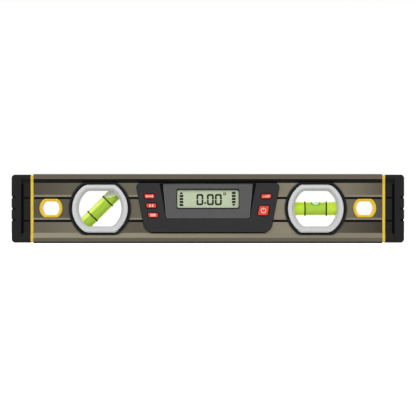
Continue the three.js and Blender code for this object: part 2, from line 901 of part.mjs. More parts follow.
/** The tilted panel and the display behind it, in the panel's own plane. */
function displayStack() {
  const opening = roundedRectangle(0, displayRise, displayWidth, displayHeight, displayCorner);
  const panel = cut(
    panelSlab(panelOutline(0), 0, panelThickness),
    panelSlab(opening, -overrun, panelThickness + overrun),
  );
  const lensDepth = panelThickness + fitGap;
  const lensShape = roundedRectangle(
    0, displayRise, displayWidth + 2 * lensLap, displayHeight + 2 * lensLap, displayCorner,
  );
  const cellDepth = lensDepth + lensThickness + fitGap;
  const [cellWidth, cellHeight] = [displayWidth + 2 * cellLap, displayHeight + 2 * cellLap];
  const cellFoot = displayRise - cellHeight / 2;
  const cellBack = cellDepth + cellThickness;
  const backlightDepth = cellBack + fitGap;
  const connectorMiddle = cellFoot + cellLedge / 2;
  const farEdge = (connectorMiddle + connectorWidth / 2) * Math.sin(panelTilt);
  const connectorEnd = (boardFront - fitGap - panelFace - farEdge) / Math.cos(panelTilt);
  const flatBlock = (width, low, high, top, bottom) => {
    const geometry = new THREE.BoxGeometry(width, high - low, bottom - top);
    return geometry.translate(0, (low + high) / 2, -(top + bottom) / 2);
  };
  const group = new THREE.Group();
  group.add(
    piece('display_panel', panel, panelPlastic),
    piece(
      'display_lens', panelSlab(lensShape, lensDepth, lensDepth + lensThickness), displayGlass,
    ),
    piece(
      'lcd_cell',
      flatBlock(cellWidth, cellFoot, cellFoot + cellHeight, cellDepth, cellBack),
      displayGlass,
    ),
    piece(
      'lcd_backlight',
      flatBlock(
        cellWidth, cellFoot + cellLedge, cellFoot + cellHeight,
        backlightDepth, backlightDepth + backlightThickness,
      ),
      reflectorFoil,
    ),
    piece(
      'lcd_connector',
      flatBlock(
        cellWidth - 2 * connectorMargin,
        connectorMiddle - connectorWidth / 2,
        connectorMiddle + connectorWidth / 2,
        backlightDepth,
        connectorEnd,
      ),
      connectorRubber,
    ),
  );
  group.position.set(0, panelFace, panelFoot);
  group.rotation.x = Math.PI / 2 - panelTilt;
  return group;
}

function circuitBoard() {
  const board = slab(tubOutline(tubWall + boardRoom), boardFront, boardBack);
  const holes = screws.map(
    ({ x, z }) => pin(screwRadius + fitGap, boardFront - overrun, boardBack + overrun, x, z),
  );
  return piece('circuit_board', cut(board, ...holes), boardLaminate);
}

const stemEnd = boardFront - switchHeight - plungerHeight - pressRoom;

function buttonCap(button) {
  const capFace = moduleFace - buttonProud;
  const flangeFace = webFace + fitGap;
  const flangeBack = flangeFace + buttonFlangeThickness;
  const cap = chamferedSlab(
    buttonOutline(button, 0), capFace, flangeFace, buttonCrown, cornerSteps,
  );
  const flange = slab(buttonOutline(button, buttonFlange), flangeFace, flangeBack, cornerSteps);
  const stem = pin(stemRadius, flangeBack, stemEnd, button.x, button.z);
  return piece(button.name, join(cap, flange, stem), redPlastic);
}

function pressSwitch(button) {
  const half = switchSide / 2;
  const top = boardFront - switchHeight;
  const body = block(
    button.x - half, button.x + half, top, boardFront, button.z - half, button.z + half,
  );
  const plunger = pin(plungerRadius, top - plungerHeight, top, button.x, button.z);
  return piece(button.name.replace('button', 'switch'), join(body, plunger), switchSteel);
}

/** A square part that stands on the back of the circuit board. */
function boardBlock(name, x, z, side, height, material) {
  const half = side / 2;
  const body = block(x - half, x + half, boardBack, boardBack + height, z - half, z + half);
  return piece(name, body, material);
}

function buzzer() {
  const body = pin(
    buzzerRadius, boardBack, boardBack + buzzerHeight,
    boardPartOffset, moduleMiddle - buzzerDrop, roundSides,
  );
  return piece('buzzer', body, chipResin);
}

// Battery box, door, batteries and contacts

const boxInnerLength = batteryLength + 2 * contactRoom;
const boxInnerHeight = 2 * batteryRadius + batterySpacing + 2 * fitGap;

/** A front-view rectangle round the battery box, grown past its inner walls by a margin. */
function boxOutline(margin, corner) {
  return roundedRectangle(
    0, moduleMiddle, boxInnerLength + 2 * margin, boxInnerHeight + 2 * margin, corner,
  );
}

function rearHousing() {
  const rearFace = backFace - moduleSetback;
  const wall = chamferedSlab(moduleOutline(0), -webFace, rearFace, moduleEdge);
  const tub = cut(
    slab(tubOutline(0), boxFront, -webFace),
    slab(tubOutline(tubWall), boxFront - overrun, -webFace),
  );
  const box = slab(boxOutline(batteryBoxWall, doorCorner), boxFront, -webFace, cornerSteps);
  const posts = screws.map(
    ({ x, z }) => pin(postRadius, boardBack + fitGap, -webFace, x, z),
  );
  const body = join(wall, tub, box, ...posts);
  const boxHollow = slab(
    boxOutline(0, doorCorner / 2), boxFront + batteryBoxFloor, backFace, cornerSteps,
  );
  const doorRecess = slab(
    boxOutline(doorLap, doorCorner), doorSeat, backFace + overrun, cornerSteps,
  );
  const screwHoles = screws.flatMap(({ x, z }) => [
    pin(screwRadius + fitGap, boardFront, backFace, x, z),
    pin(screwHeadRadius + fitGap, headSeat, backFace + overrun, x, z),
  ]);
  return piece(
    'rear_housing', cut(body, boxHollow, doorRecess, ...screwHoles), housingPlastic,
  );
}

function batteryDoor() {
  const plate = chamferedSlab(
    boxOutline(doorLap - fitGap, doorCorner), doorSeat + fitGap, doorFace, doorEdge, cornerSteps,
  );
  const ribEnd = boxInnerLength / 2 - fitGap;
  const [ribFront, ribBack] = [doorSeat + fitGap - doorRibDepth, doorSeat + fitGap];
  const [ribLow, ribHigh] = [moduleMiddle - doorRibWidth / 2, moduleMiddle + doorRibWidth / 2];
  const ribs = [-ribEnd, ribEnd - doorRibThickness].map(
    (start) => block(start, start + doorRibThickness, ribFront, ribBack, ribLow, ribHigh),
  );
  const notch = pin(
    thumbNotchRadius, doorFace - thumbNotchDepth, doorFace + overrun,
    boxInnerLength / 2, moduleMiddle, roundSides,
  );
  return piece('battery_door', join(cut(plate, notch), ...ribs), housingPlastic);
}

function battery(name, z, turn) {
  const half = batteryLength / 2;
  const profile = [
    [0, -half],
    [batteryRadius, -half],
    [batteryRadius, half - batteryNubHeight],
    [batteryNubRadius, half - batteryNubHeight],
    [batteryNubRadius, half],
    [0, half],
  ];
  const mesh = piece(name, turned(profile), batterySleeve);
  mesh.position.set(0, batteryAxis, z);
  mesh.rotation.z = turn;
  return mesh;
}

/** A sheet contact against an end wall of the box, with a bent tongue for each battery. */
function batteryContact(name, side, low, high, tongueHeights) {
  const wallX = boxInnerLength / 2 - fitGap;
  const foot = boxFront + batteryBoxFloor + fitGap;
  const tongueReach = batteryLength / 2 + fitGap;
  const middle = foot + contactHeight / 2;
  const quarter = contactHeight / 4;
  const sheet = block(wallX - contactThickness, wallX, foot, foot + contactHeight, low, high);
  const tongueSection = new THREE.Shape([
    new THREE.Vector2(wallX - contactThickness, middle - quarter - contactThickness),
    new THREE.Vector2(wallX - contactThickness, middle - quarter),
    new THREE.Vector2(tongueReach + contactThickness, middle),
    new THREE.Vector2(wallX - contactThickness, middle + quarter),
    new THREE.Vector2(wallX - contactThickness, middle + quarter + contactThickness),
    new THREE.Vector2(tongueReach, middle),
  ]);
  const tongues = tongueHeights.map((height) => new THREE.ExtrudeGeometry(tongueSection, {
    depth: contactTongueWidth, bevelEnabled: false,
  }).translate(0, 0, height - contactTongueWidth / 2));
  const geometry = join(sheet, ...tongues);
  if (side < 0) {
    geometry.translate(0, -middle, 0).rotateZ(Math.PI).translate(0, middle, 0);
  }
  return piece(name, geometry, springSteel);
}

function housingScrew(index, { x, z }) {
  const headBottom = headSeat + fitGap;
  const headTop = headBottom + screwHeadHeight - fitGap;
  const body = join(
    pin(screwRadius, screwTip, headBottom, x, z),
    pin(screwHeadRadius, headBottom, headTop, x, z),
  );
  const socket = pin(
    screwSocketRadius, headTop - screwSocketDepth, headTop + overrun, x, z, socketSides,
  );
  return piece(`housing_screw_${index + 1}`, cut(body, socket), screwSteel);
}

function batteryPack() {
  const lowerAxis = moduleMiddle - batterySpacing / 2;
  const upperAxis = moduleMiddle + batterySpacing / 2;
  const half = contactWidth / 2;
  return [
    battery('upper_battery', upperAxis, 0),
    battery('lower_battery', lowerAxis, Math.PI),
    batteryContact(
      'battery_bridge', -1, lowerAxis - half, upperAxis + half, [lowerAxis, upperAxis],
    ),
    batteryContact('upper_battery_contact', 1, upperAxis - half, upperAxis + half, [upperAxis]),
    batteryContact('lower_battery_contact', 1, lowerAxis - half, lowerAxis + half, [lowerAxis]),
  ];
}

// The level

const level = new THREE.Group();
level.add(
  boxProfile(),
  endCap('right_end_cap', 0),
  endCap('left_end_cap', Math.PI),
  endRing('right_end_ring', 0),
  endRing('left_end_ring', Math.PI),
  ...hangHoles.flatMap((hole) => faces.map((face) => hangBush(hole, face))),
  ...windows.flatMap((window) => faces.map((face) => windowFrame(window, face))),
  ...windows.flatMap((window) => faces.map((face) => vialCarrier(window, face))),
  ...windows.map(vial),
  displayHousing(),
  displayStack(),
  circuitBoard(),
  ...buttons.map(buttonCap),
  ...buttons.map(pressSwitch),
  boardBlock(
    'tilt_sensor', -boardPartOffset, moduleMiddle + tiltSensorRise,
    tiltSensorSide, tiltSensorHeight, switchSteel,
  ),
  boardBlock(
    'processor', -boardPartOffset, moduleMiddle - processorDrop,
    processorSide, processorHeight, chipResin,
  ),
  buzzer(),
  rearHousing(),
  batteryDoor(),
  ...batteryPack(),
  ...screws.map((screw, index) => housingScrew(index, screw)),
);

export default level;
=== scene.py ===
import json
import math
from collections import namedtuple
from contextlib import contextmanager

import bmesh
import bpy
from bpy.props import FloatProperty, FloatVectorProperty, PointerProperty
from bpy.types import NodeSocket, Operator, Panel, PropertyGroup
from mathutils import Matrix, Vector

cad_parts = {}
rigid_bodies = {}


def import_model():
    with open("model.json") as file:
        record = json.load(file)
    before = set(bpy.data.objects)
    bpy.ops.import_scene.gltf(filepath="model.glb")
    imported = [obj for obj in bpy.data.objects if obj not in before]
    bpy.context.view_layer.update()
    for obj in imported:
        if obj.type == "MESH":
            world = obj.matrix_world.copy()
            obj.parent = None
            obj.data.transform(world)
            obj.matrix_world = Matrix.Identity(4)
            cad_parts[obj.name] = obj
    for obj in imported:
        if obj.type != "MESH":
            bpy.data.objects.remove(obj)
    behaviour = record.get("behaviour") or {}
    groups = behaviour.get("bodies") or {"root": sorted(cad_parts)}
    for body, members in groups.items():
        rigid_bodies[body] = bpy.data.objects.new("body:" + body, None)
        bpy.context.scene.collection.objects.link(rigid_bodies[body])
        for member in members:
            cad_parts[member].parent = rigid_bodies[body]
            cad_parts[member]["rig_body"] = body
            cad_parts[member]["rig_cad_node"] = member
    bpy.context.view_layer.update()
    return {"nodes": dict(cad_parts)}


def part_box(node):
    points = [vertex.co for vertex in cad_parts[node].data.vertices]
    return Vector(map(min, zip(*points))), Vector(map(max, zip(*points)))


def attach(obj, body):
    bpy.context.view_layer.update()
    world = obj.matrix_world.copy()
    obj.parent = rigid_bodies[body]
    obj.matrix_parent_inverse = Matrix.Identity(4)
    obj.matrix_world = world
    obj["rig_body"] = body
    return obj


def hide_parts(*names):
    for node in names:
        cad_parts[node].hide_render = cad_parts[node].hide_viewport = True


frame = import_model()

bl_info = {
    "name": "Digital Spirit Level",
    "version": (1, 0, 0),
    "blender": (4, 5, 0),
    "location": "View3D > Sidebar > Spirit Level",
    "description": "Dresses a packed digital spirit level with finished pieces and materials",
    "category": "Mesh",
}

# Sizes here are in millimetres and become metres through MM.
MM = 0.001
TINY = 0.02 * MM
OVERRUN = 2 * MM
QUARTER_TURN = math.pi / 2
ROUND_SIDES = 96
SMALL_SIDES = 40
SMOOTH_ANGLE = math.radians(35)
CRISP_ANGLE = math.radians(10)
CORNER_SHARE = 0.3
CORNER_CUTS = 5
CORNER_SIDES = ((-1, -1), (1, -1), (1, 1), (-1, 1))
BODY = "level"


def linear(*screen):
    """Turns a colour read from a screen, from 0 to 255, into light."""
    shares = [value / 255 for value in screen]
    return tuple(s / 12.92 if s <= 0.04045 else ((s + 0.055) / 1.055) ** 2.4 for s in shares)


def size(label, note, millimetres):
    return FloatProperty(
        name=label, description=note, default=millimetres * MM, min=0, unit="LENGTH", precision=5,
    )


def tint(label, note, *screen):
    return FloatVectorProperty(
        name=label, description=note, default=linear(*screen), size=3, min=0, max=1,
        subtype="COLOR",
    )


def share(label, note, value):
    return FloatProperty(
        name=label, description=note, default=value, min=0, max=1, subtype="FACTOR",
    )


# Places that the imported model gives

def span(node):
    """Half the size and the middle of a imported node."""
    low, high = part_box(node)
    return (high - low) / 2, (low + high) / 2


PROFILE_LOW, PROFILE_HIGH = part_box("box_profile")
HALF_DEPTH = PROFILE_HIGH.y
HEIGHT = PROFILE_HIGH.z
MODULE_LOW, MODULE_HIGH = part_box("display_housing")
PANEL_LOW, PANEL_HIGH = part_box("display_panel")
BAND_HALF, BAND_MIDDLE = span("left_hang_bush_front")
FIT_GAP = 0.3 * MM
SEAT_GAP = 0.15 * MM
DIP = 0.05 * MM
SHADE = 0.4 * MM
WEB_LOW = MODULE_LOW.z - FIT_GAP
WEB_TOP = MODULE_HIGH.z + FIT_GAP
WINDOWS = ("diagonal", "level")
SIDES = ("left", "right")
FACES = ("_front", "_back")


# Settings

class ProfileSettings(PropertyGroup):
    """Section and finish of the box profile"""
    foot_edge_height: size("Foot edge height", "Height of the chamfer along the base", 1.5)
    foot_edge_width: size("Foot edge width", "Width of the chamfer along the base", 0.9)
    foot_flat_top: size("Foot flat", "Height where the foot starts to slope in", 5.5)
    head_flat_height: size("Head flat", "Height of the flat rail along the top", 5)
    head_edge: size("Head edge", "Chamfer along the top", 0.6)
    web_recess: size("Web recess", "How far the web lies behind the rails", 2.2)
    web_thickness: size("Wall", "Thickness of the extruded wall", 2.4)
    groove_width: size("Groove width", "Height of the two long grooves", 1.8)
    groove_depth: size("Groove depth", "Depth of the two long grooves", 1.1)
    lip_width: size("Lip width", "Height of the raised lip above a groove", 2.3)
    lip_rise: size("Lip rise", "How far the lip stands out of the web", 0.5)
    edge_radius: size("Edge radius", "Rounding of the long edges", 0.22)
    colour: tint("Anodising", "Olive-grey anodised aluminium", 134, 127, 110)


class CapSettings(PropertyGroup):
    """Rubber end caps"""
    bumper_length: size("Bumper length", "Length of the block at the end", 9.7)
    bumper_corner: size("Bumper corner", "Rounding of the block's end", 3.6)
    bumper_edge: size("Bumper edge", "Rounding of the block's faces", 0.9)
    slot_length: size("Slot width", "Width of the slot beside the bumper", 2.6)
    slot_height: size("Slot height", "Height of the slot beside the bumper", 51)
    slot_depth: size("Slot depth", "Depth of the slot beside the bumper", 3)
    notch_pitch: size("Notch pitch", "Distance between grip notches", 11.5)
    notch_height: size("Notch height", "Height of a grip notch", 2)
    notch_depth: size("Notch depth", "Depth of a grip notch in the face", 1.2)
    notch_bite: size("Notch bite", "Depth of a grip notch in the end", 0.75)
    notch_reach: size("Notch reach", "How far a notch runs along the face", 4.1)
    colour: tint("Rubber", "Near-black moulded rubber", 32, 32, 33)


class TrimSettings(PropertyGroup):
    """Yellow rings and hang hole bushes"""
    bore_radius: size("Hole radius", "Radius of a hang hole", 8.55)
    bore_half_height: size("Hole half height", "Half the height of a hang hole", 6.8)
    bore_flare: size("Hole flare", "Slope round the mouth of a hang hole", 1.1)
    barrel_wall: size("Barrel wall", "Wall of the bush inside the profile", 1.3)
    line_inset: size("Line inset", "From the flange's outline to the line round it", 0.85)
    line_width: size("Line width", "Width of the line round the flange", 0.35)
    edge_radius: size("Edge radius", "Rounding of the flange", 0.45)
    colour: tint("Yellow", "Moulded yellow plastic", 246, 214, 44)
    # Painted shade, in orange, in the groove round the flange
    line_ink_and_groove_shade_colour: tint("Line", "Orange line round the flange", 222, 146, 16)
    # Painted highlight on the slope round the hole
    flare_highlight_colour: tint("Flare", "Pale yellow slope round the hole", 252, 226, 150)
    ring_colour: tint("Ring", "Yellow of the rings beside the caps", 244, 209, 70)


class WindowSettings(PropertyGroup):
    """Frames and carriers of the vial windows"""
    opening_radius: size("Opening radius", "Radius of the see-through opening", 21.9)
    opening_half_height: size("Opening half height", "Half the height of the opening", 18.1)
    funnel_width: size("Funnel width", "Width of the slope round the opening", 2.8)
    funnel_depth: size("Funnel depth", "Depth of the slope round the opening", 3.4)
    carrier_edge: size("Carrier edge", "Rounding of the carrier's rim", 1.1)
    barrel_wall: size("Barrel wall", "Wall of the frame's barrel", 1.4)
    barrel_depth: size("Barrel depth", "How far the frame reaches into the profile", 4)
    frame_edge: size("Frame edge", "Rounding of the frame", 0.7)
    rim_width: size("Frame rim", "Width of the lower rim inside the frame", 1.1)
    rim_depth: size("Frame rim depth", "How far that rim lies behind the frame's face", 0.5)
    frame_colour: tint("Frame", "Black moulded frame", 36, 36, 37)
    carrier_colour: tint("Carrier", "Pale grey moulded carrier", 212, 212, 213)


class VialSettings(PropertyGroup):
    """Vials, spirit and bubbles"""
    wall: size("Tube wall", "Thickness of the acrylic tube", 0.55)
    end_wall: size("End wall", "Thickness of the tube's closed end", 2)
    end_radius: size("End radius", "Rounding of the tube's ends", 0.5)
    film: size("Bubble film", "How far a bubble stands out of the spirit", 0.15)
    air_start: size("Air start", "Where the diagonal vial's air starts, from its middle", 9.6)
    surface_height: size("Surface height", "Height of the spirit in the diagonal vial", 10.6)
    surface_middle: size("Surface middle", "Where the surface is lowest, from the middle", 8.5)
    surface_curve: share("Surface curve", "How steeply the surface curls up, per millimetre", 0.045)
    surface_edge: size("Surface edge", "Width of a step in the surface's colours", 0.2)
    level_colour: tint("Level spirit", "Yellow-green spirit in the level vial", 167, 199, 60)
    level_end_colour: tint("Level ends", "Spirit beyond the level vial's lines", 193, 221, 58)
    diagonal_colour: tint("Diagonal spirit", "Spirit in the diagonal vial", 156, 190, 49)
    highlight_colour: tint("Spirit highlight", "Light along the spirit's upper side", 240, 255, 150)
    # Painted light: the bubble and the air are pale for the light seen through them
    bubble_colour: tint("Bubble", "Pale bubble", 206, 244, 220)
    # Painted shade along a bubble's outline and along the spirit's surface line
    rim_shade_colour: tint("Bubble rim", "Dark edge of a bubble", 48, 140, 84)
    air_colour: tint("Air", "Clear air above the spirit", 212, 210, 240)
    line_ink_and_groove_shade_colour: tint("Line", "Black ring on a vial", 14, 18, 10)
    line_rise: size("Line rise", "How far a ring stands out of its tube", 0.03)
    acrylic_colour: tint("Acrylic", "Clear tube", 250, 251, 236)


class DisplaySettings(PropertyGroup):
    """Display panel, window and digits"""
    tilt: FloatProperty(
        name="Tilt", description="How far the panel leans back", default=math.radians(4.5),
        subtype="ANGLE",
    )
    panel_height: size("Panel height", "Height of the panel along its slope", 35.2)
    panel_thickness: size("Panel thickness", "Thickness of the panel", 1.6)
    panel_foot_reach: size("Panel foot", "Half the width of the panel's foot", 42.3)
    panel_slope: share("Panel slope", "How far the panel's sides lean out", 0.096)
    panel_corner: size("Panel corner", "Rounding of the panel's foot", 2.5)
    panel_top_corner: size("Panel top corner", "Rounding of the panel's upper corners", 0.8)
    window_rise: size("Window rise", "Middle of the window above the panel's foot", 19.7)
    window_width: size("Window width", "Width of the opening in the panel", 64.3)
    window_height: size("Window height", "Height of the opening in the panel", 21)
    window_corner: size("Window corner", "Rounding of the opening", 2.2)
    mask_side: size("Mask side", "Black border left and right of the display", 0.75)
    mask_end: size("Mask top", "Black border above and below the display", 1.4)
    mask_lap: size("Mask lap", "How much wider the mask is than the opening", 1)
    mask_corner: size("Mask corner", "Rounding of the mask's opening", 1.8)
    digit_width: size("Digit width", "Width of a digit", 7)
    digit_height: size("Digit height", "Height of a digit", 11.5)
    stroke: size("Stroke", "Width of a digit's stroke", 1.8)
    # Painted shade on the housing's rounded edge, deeper than its face
    housing_edge: size("Housing edge", "Where the housing turns dark behind its face", 0.25)
    housing_colour: tint("Housing", "Dark grey moulded housing", 51, 51, 52)
    panel_colour: tint("Panel", "Mid grey panel", 86, 86, 87)
    panel_edge: size("Panel edge", "Rounding of the panel's edge", 0.5)
    # Painted highlight on the panel's rounded edge
    panel_edge_highlight_colour: tint("Panel edge", "Lighter edge of the panel", 178, 178, 179)
    cell_colour: tint("Display", "Pale green display", 204, 208, 188)
    digit_colour: tint("Digits", "Dark liquid crystal", 8, 11, 4)
    mask_colour: tint("Mask", "Black print round the display", 14, 15, 10)
    lens_lap: size("Lens lap", "How far the lens reaches behind the panel", 1.6)
    lens_thickness: size("Lens", "Thickness of the lens", 1)
    lens_edge: size("Lens edge", "Rounding of the lens", 0.2)
    lens_colour: tint("Lens", "Clear lens", 252, 254, 250)


class ButtonSettings(PropertyGroup):
    """Buttons and their marks"""
    length: size("Length", "Length of a small button", 11.5)
    height: size("Height", "Height of a small button", 5.8)
    large_length: size("Large length", "Length of the large button", 11.5)
    large_height: size("Large height", "Height of the large button", 11)
    corner: size("Corner", "Rounding of a button's outline", 1.9)
    crown: size("Crown", "Rounding of a button's face", 1.1)
    flange: size("Flange", "Width of the flange inside the housing", 0.8)
    flange_thickness: size("Flange thickness", "Thickness of that flange", 1)
    stem_radius: size("Stem radius", "Radius of the stem behind a button", 1.5)
    stroke: size("Mark stroke", "Width of the lines in a mark", 0.62)
    print_thickness: size("Print thickness", "Thickness of a mark", 0.08)
    print_height: size("Print height", "How far a mark stands out of its button", 0.02)
    lean: share("Lean", "How far the buttons lean with the housing", 0.19)
    colour: tint("Red", "Translucent red button", 216, 66, 48)
    # Painted shade down a button's rounded edge
    edge_shade_colour: tint("Red edge", "Deep red of a button's edges", 30, 2, 2)
    mark_colour: tint("Mark", "Pale printed mark", 255, 214, 204)


class BackSettings(PropertyGroup):
    """Battery door and screws"""
    door_corner: size("Door corner", "Rounding of the door's outline", 2)
    door_edge: size("Door edge", "Rounding of the door's face", 0.4)
    door_plate: size("Door plate", "Thickness of the door's plate", 1.6)
    notch_radius: size("Notch radius", "Radius of the thumb notch", 7)
    notch_depth: size("Notch depth", "Depth of the thumb notch", 0.7)
    rib_pitch: size("Grip pitch", "Distance between the grip ribs", 1.8)
    rib_width: size("Grip width", "Width of a grip rib", 0.8)
    rib_length: size("Rib length", "Length of the grip ribs and of the ribs inside", 8)
    rib_rise: size("Grip rise", "How far a grip rib stands out of the door", 0.08)
    inner_rib_inset: size("Rib inset", "From the door's end to the rib inside it", 0.98)
    inner_rib_width: size("Rib width", "Width of a rib inside the door", 0.9)
    head_height: size("Screw head", "Height of a screw's head", 1.3)
    head_edge: size("Screw head edge", "Rounding of a screw's head", 0.35)
    shank_radius: size("Shank radius", "Radius of a screw's shank", 1.1)
    cross_width: size("Cross width", "Half the width of the cross in a screw's head", 0.3)
    cross_length: size("Cross length", "Half the length of that cross", 1.25)
    cross_depth: size("Cross depth", "Depth of that cross", 0.8)
    door_colour: tint("Door", "Dark grey battery cover", 62, 62, 64)
    screw_colour: tint("Screws", "Dark zinc-plated steel", 78, 80, 84)


class InsideSettings(PropertyGroup):
    """Electronics and cells"""
    board_colour: tint("Board", "Green circuit board", 32, 92, 54)
    chip_colour: tint("Chips", "Black moulded resin", 28, 28, 30)
    metal_colour: tint("Sheet metal", "Tinned and nickel-plated sheet", 190, 194, 198)
    cell_colour: tint("Cell sleeve", "Plain sleeve of a cell", 60, 76, 108)
    connector_colour: tint("Connector", "Elastomer strip", 138, 95, 108)
    reflector_colour: tint("Backlight", "White diffuser", 216, 220, 204)


class StageSettings(PropertyGroup):
    """Floor, light and camera"""
    pixel_size: size("Pixel size", "Width of one picture pixel at the front of the level", 1.01872)
    centre_x: FloatProperty(
        name="Middle", description="Where the camera looks along the level", default=-0.377 * MM,
        unit="LENGTH",
    )
    centre_z: size("Eye height", "Height of the camera", 36.4)
    distance: size("Distance", "From the camera to the front of the level", 4700)
    sensor: size("Sensor", "Width of the camera's sensor", 36)
    floor_light: share("Floor light", "How much light the floor shows the camera", 0.62)
    soft_light: share("Soft light", "How much light the surround throws on the object", 0.5)
    floor_colour: tint("Floor", "Plain pale floor", 236, 236, 236)
    world_colour: tint("Surround", "Soft light all round", 255, 255, 255)


SETTINGS = {
    "profile": ProfileSettings,
    "caps": CapSettings,
    "trim": TrimSettings,
    "windows": WindowSettings,
    "vials": VialSettings,
    "display": DisplaySettings,
    "buttons": ButtonSettings,
    "back": BackSettings,
    "inside": InsideSettings,
    "stage": StageSettings,
}


def settings(name):
    return getattr(bpy.context.scene, "level_" + name)


# Modelling by hand

def deselect():
    bpy.ops.object.select_all(action="DESELECT")


def activate(piece):
    deselect()
    piece.select_set(True)
    bpy.context.view_layer.objects.active = piece
    return piece


def settle(piece, matrix=None):
    """Moves a piece by a matrix, then takes its place, turn and size into its mesh."""
    activate(piece)
    if matrix is not None:
        piece.matrix_world = matrix @ piece.matrix_world
    bpy.ops.object.transform_apply(location=True, rotation=True, scale=True)
    return piece


@contextmanager
def editing(piece):
    activate(piece)
    bpy.ops.object.mode_set(mode="EDIT")
    bpy.ops.mesh.select_mode(type="FACE")
    bpy.ops.mesh.select_all(action="SELECT")
    yield
    bpy.ops.object.mode_set(mode="OBJECT")


def pick(mode, test):
    """Selects the vertices, edges or faces that pass a test, and only those."""
    bpy.ops.mesh.select_mode(type=mode)
    bpy.ops.mesh.select_all(action="DESELECT")
    data = bpy.context.edit_object.data
    mesh = bmesh.from_edit_mesh(data)
    for element in {"VERT": mesh.verts, "EDGE": mesh.edges, "FACE": mesh.faces}[mode]:
        if test(element):
            element.select_set(True)
    bmesh.update_edit_mesh(data)


def near(value, target):
    return abs(value - target) < TINY


def is_sharp(edge, angle=SMOOTH_ANGLE):
    return len(edge.link_faces) == 2 and edge.calc_face_angle(0) > angle


def lies_at(edge, axis, value):
    """Whether both ends of an edge lie in a plane across an axis."""
    return all(near(vertex.co[axis], value) for vertex in edge.verts)


def shift(test, offset):
    pick("VERT", test)
    bpy.ops.transform.translate(value=offset)


def extrude(offset):
    bpy.ops.mesh.extrude_region_move(TRANSFORM_OT_translate={"value": offset})


def turn_outwards():
    bpy.ops.mesh.select_all(action="SELECT")
    bpy.ops.mesh.remove_doubles(threshold=TINY / 10)
    bpy.ops.mesh.normals_make_consistent(inside=False)


def round_edges(piece, width, test, segments=3):
    """Rounds the sharp edges that pass a test."""
    with editing(piece):
        pick("EDGE", lambda edge: is_sharp(edge) and test(edge))
        bpy.ops.mesh.bevel(offset=width, segments=segments, profile=0.5, clamp_overlap=True)
    return piece


def block(low, high):
    deselect()
    low, high = Vector(low), Vector(high)
    bpy.ops.mesh.primitive_cube_add(size=1, location=(low + high) / 2)
    bpy.context.object.scale = high - low
    return settle(bpy.context.object)


def rod(radius, start, end, axis="Y", middle=(0, 0, 0), sides=SMALL_SIDES):
    """A cylinder along Y or X, between two places on its axis."""
    deselect()
    turn = (QUARTER_TURN, 0, 0) if axis == "Y" else (0, QUARTER_TURN, 0)
    along = Vector((0, 1, 0)) if axis == "Y" else Vector((1, 0, 0))
    bpy.ops.mesh.primitive_cylinder_add(
        vertices=sides, radius=radius, depth=end - start,
        location=Vector(middle) + along * (start + end) / 2, rotation=turn,
    )
    return settle(bpy.context.object)


def flattening_planes(radius, half_height):
    """Directions and distances of the planes that flatten a disc and round its corners."""
    rounding = CORNER_SHARE * radius
    up = half_height - rounding
    out = math.sqrt((radius - rounding) ** 2 - up ** 2)
    first = math.atan2(up, out)
    planes = [(0, 1, half_height), (0, -1, half_height)]
    for step in range(1, CORNER_CUTS):
        angle = first + (QUARTER_TURN - first) * step / CORNER_CUTS
        aside, above = math.cos(angle), math.sin(angle)
        distance = aside * out + above * up + rounding
        planes += [(a * aside, b * above, distance) for a in (-1, 1) for b in (-1, 1)]
    return planes


def flat_disc(x, z, radius, half_height, start, end, flare=0, flare_depth=0):
    """A disc along Y, flat above and below, that can open out into a funnel."""
    piece = rod(radius, start, end, middle=(x, 0, z), sides=ROUND_SIDES)
    with editing(piece):
        for aside, above, distance in flattening_planes(radius, half_height):
            bpy.ops.mesh.select_all(action="SELECT")
            bpy.ops.mesh.bisect(
                plane_co=(x + aside * distance, 0, z + above * distance),
                plane_no=(aside, 0, above), use_fill=True, clear_outer=True, threshold=TINY / 10,
            )
        if flare:
            pick("FACE", lambda face: near(face.calc_center_median().y, start))
            extrude((0, -flare_depth, 0))
            bpy.ops.transform.resize(
                value=(1 + flare / radius, 1, 1 + flare / half_height),
                center_override=(x, start - flare_depth, z),
            )
            extrude((0, -OVERRUN, 0))
        turn_outwards()
    return piece


def slab(corners, radii, start, end):
    """A slab that faces along Y, with four corners (x, z), each rounded by its radius."""
    deselect()
    middle = sum((Vector(corner) for corner in corners), Vector((0, 0))) / 4
    bpy.ops.mesh.primitive_plane_add(
        size=MM, location=(middle.x, start, middle.y), rotation=(QUARTER_TURN, 0, 0),
    )
    piece = settle(bpy.context.object)
    with editing(piece):
        for x, z in corners:
            right, above = x > middle.x, z > middle.y
            place = Vector((
                middle.x + (MM / 2 if right else -MM / 2), start,
                middle.y + (MM / 2 if above else -MM / 2),
            ))
            shift(lambda vertex: (vertex.co - place).length < TINY, Vector((x, start, z)) - place)
        for i, radius in enumerate(radii):
            corner, before, after = (Vector(corners[(i + step) % 4]) for step in (0, -1, 1))
            angle = (before - corner).angle(after - corner)
            place = Vector((corner.x, start, corner.y))
            pick("VERT", lambda vertex: (vertex.co - place).length < TINY)
            bpy.ops.mesh.bevel(
                offset=radius / math.tan(angle / 2), affect="VERTICES", segments=8, profile=0.5,
            )
        bpy.ops.mesh.select_mode(type="FACE")
        bpy.ops.mesh.select_all(action="SELECT")
        extrude((0, end - start, 0))
        turn_outwards()
    return piece


def rounded_slab(x, z, width, height, radius, start, end):
    corners = [(x + a * width / 2, z + b * height / 2) for a, b in CORNER_SIDES]
    return slab(corners, [radius] * 4, start, end)


def combine(piece, operation, *others):
    """Cuts, joins or meets a piece with others, which are used up."""
    for other in others:
        activate(piece)
        bpy.ops.object.modifier_add(type="BOOLEAN")
        modifier = piece.modifiers[-1]
        modifier.operation = operation
        modifier.object = other
        modifier.solver = "EXACT"
        bpy.ops.object.modifier_apply(modifier=modifier.name)
        activate(other)
        bpy.ops.object.delete()
    return piece


def cut(piece, *others):
    return combine(piece, "DIFFERENCE", *others)


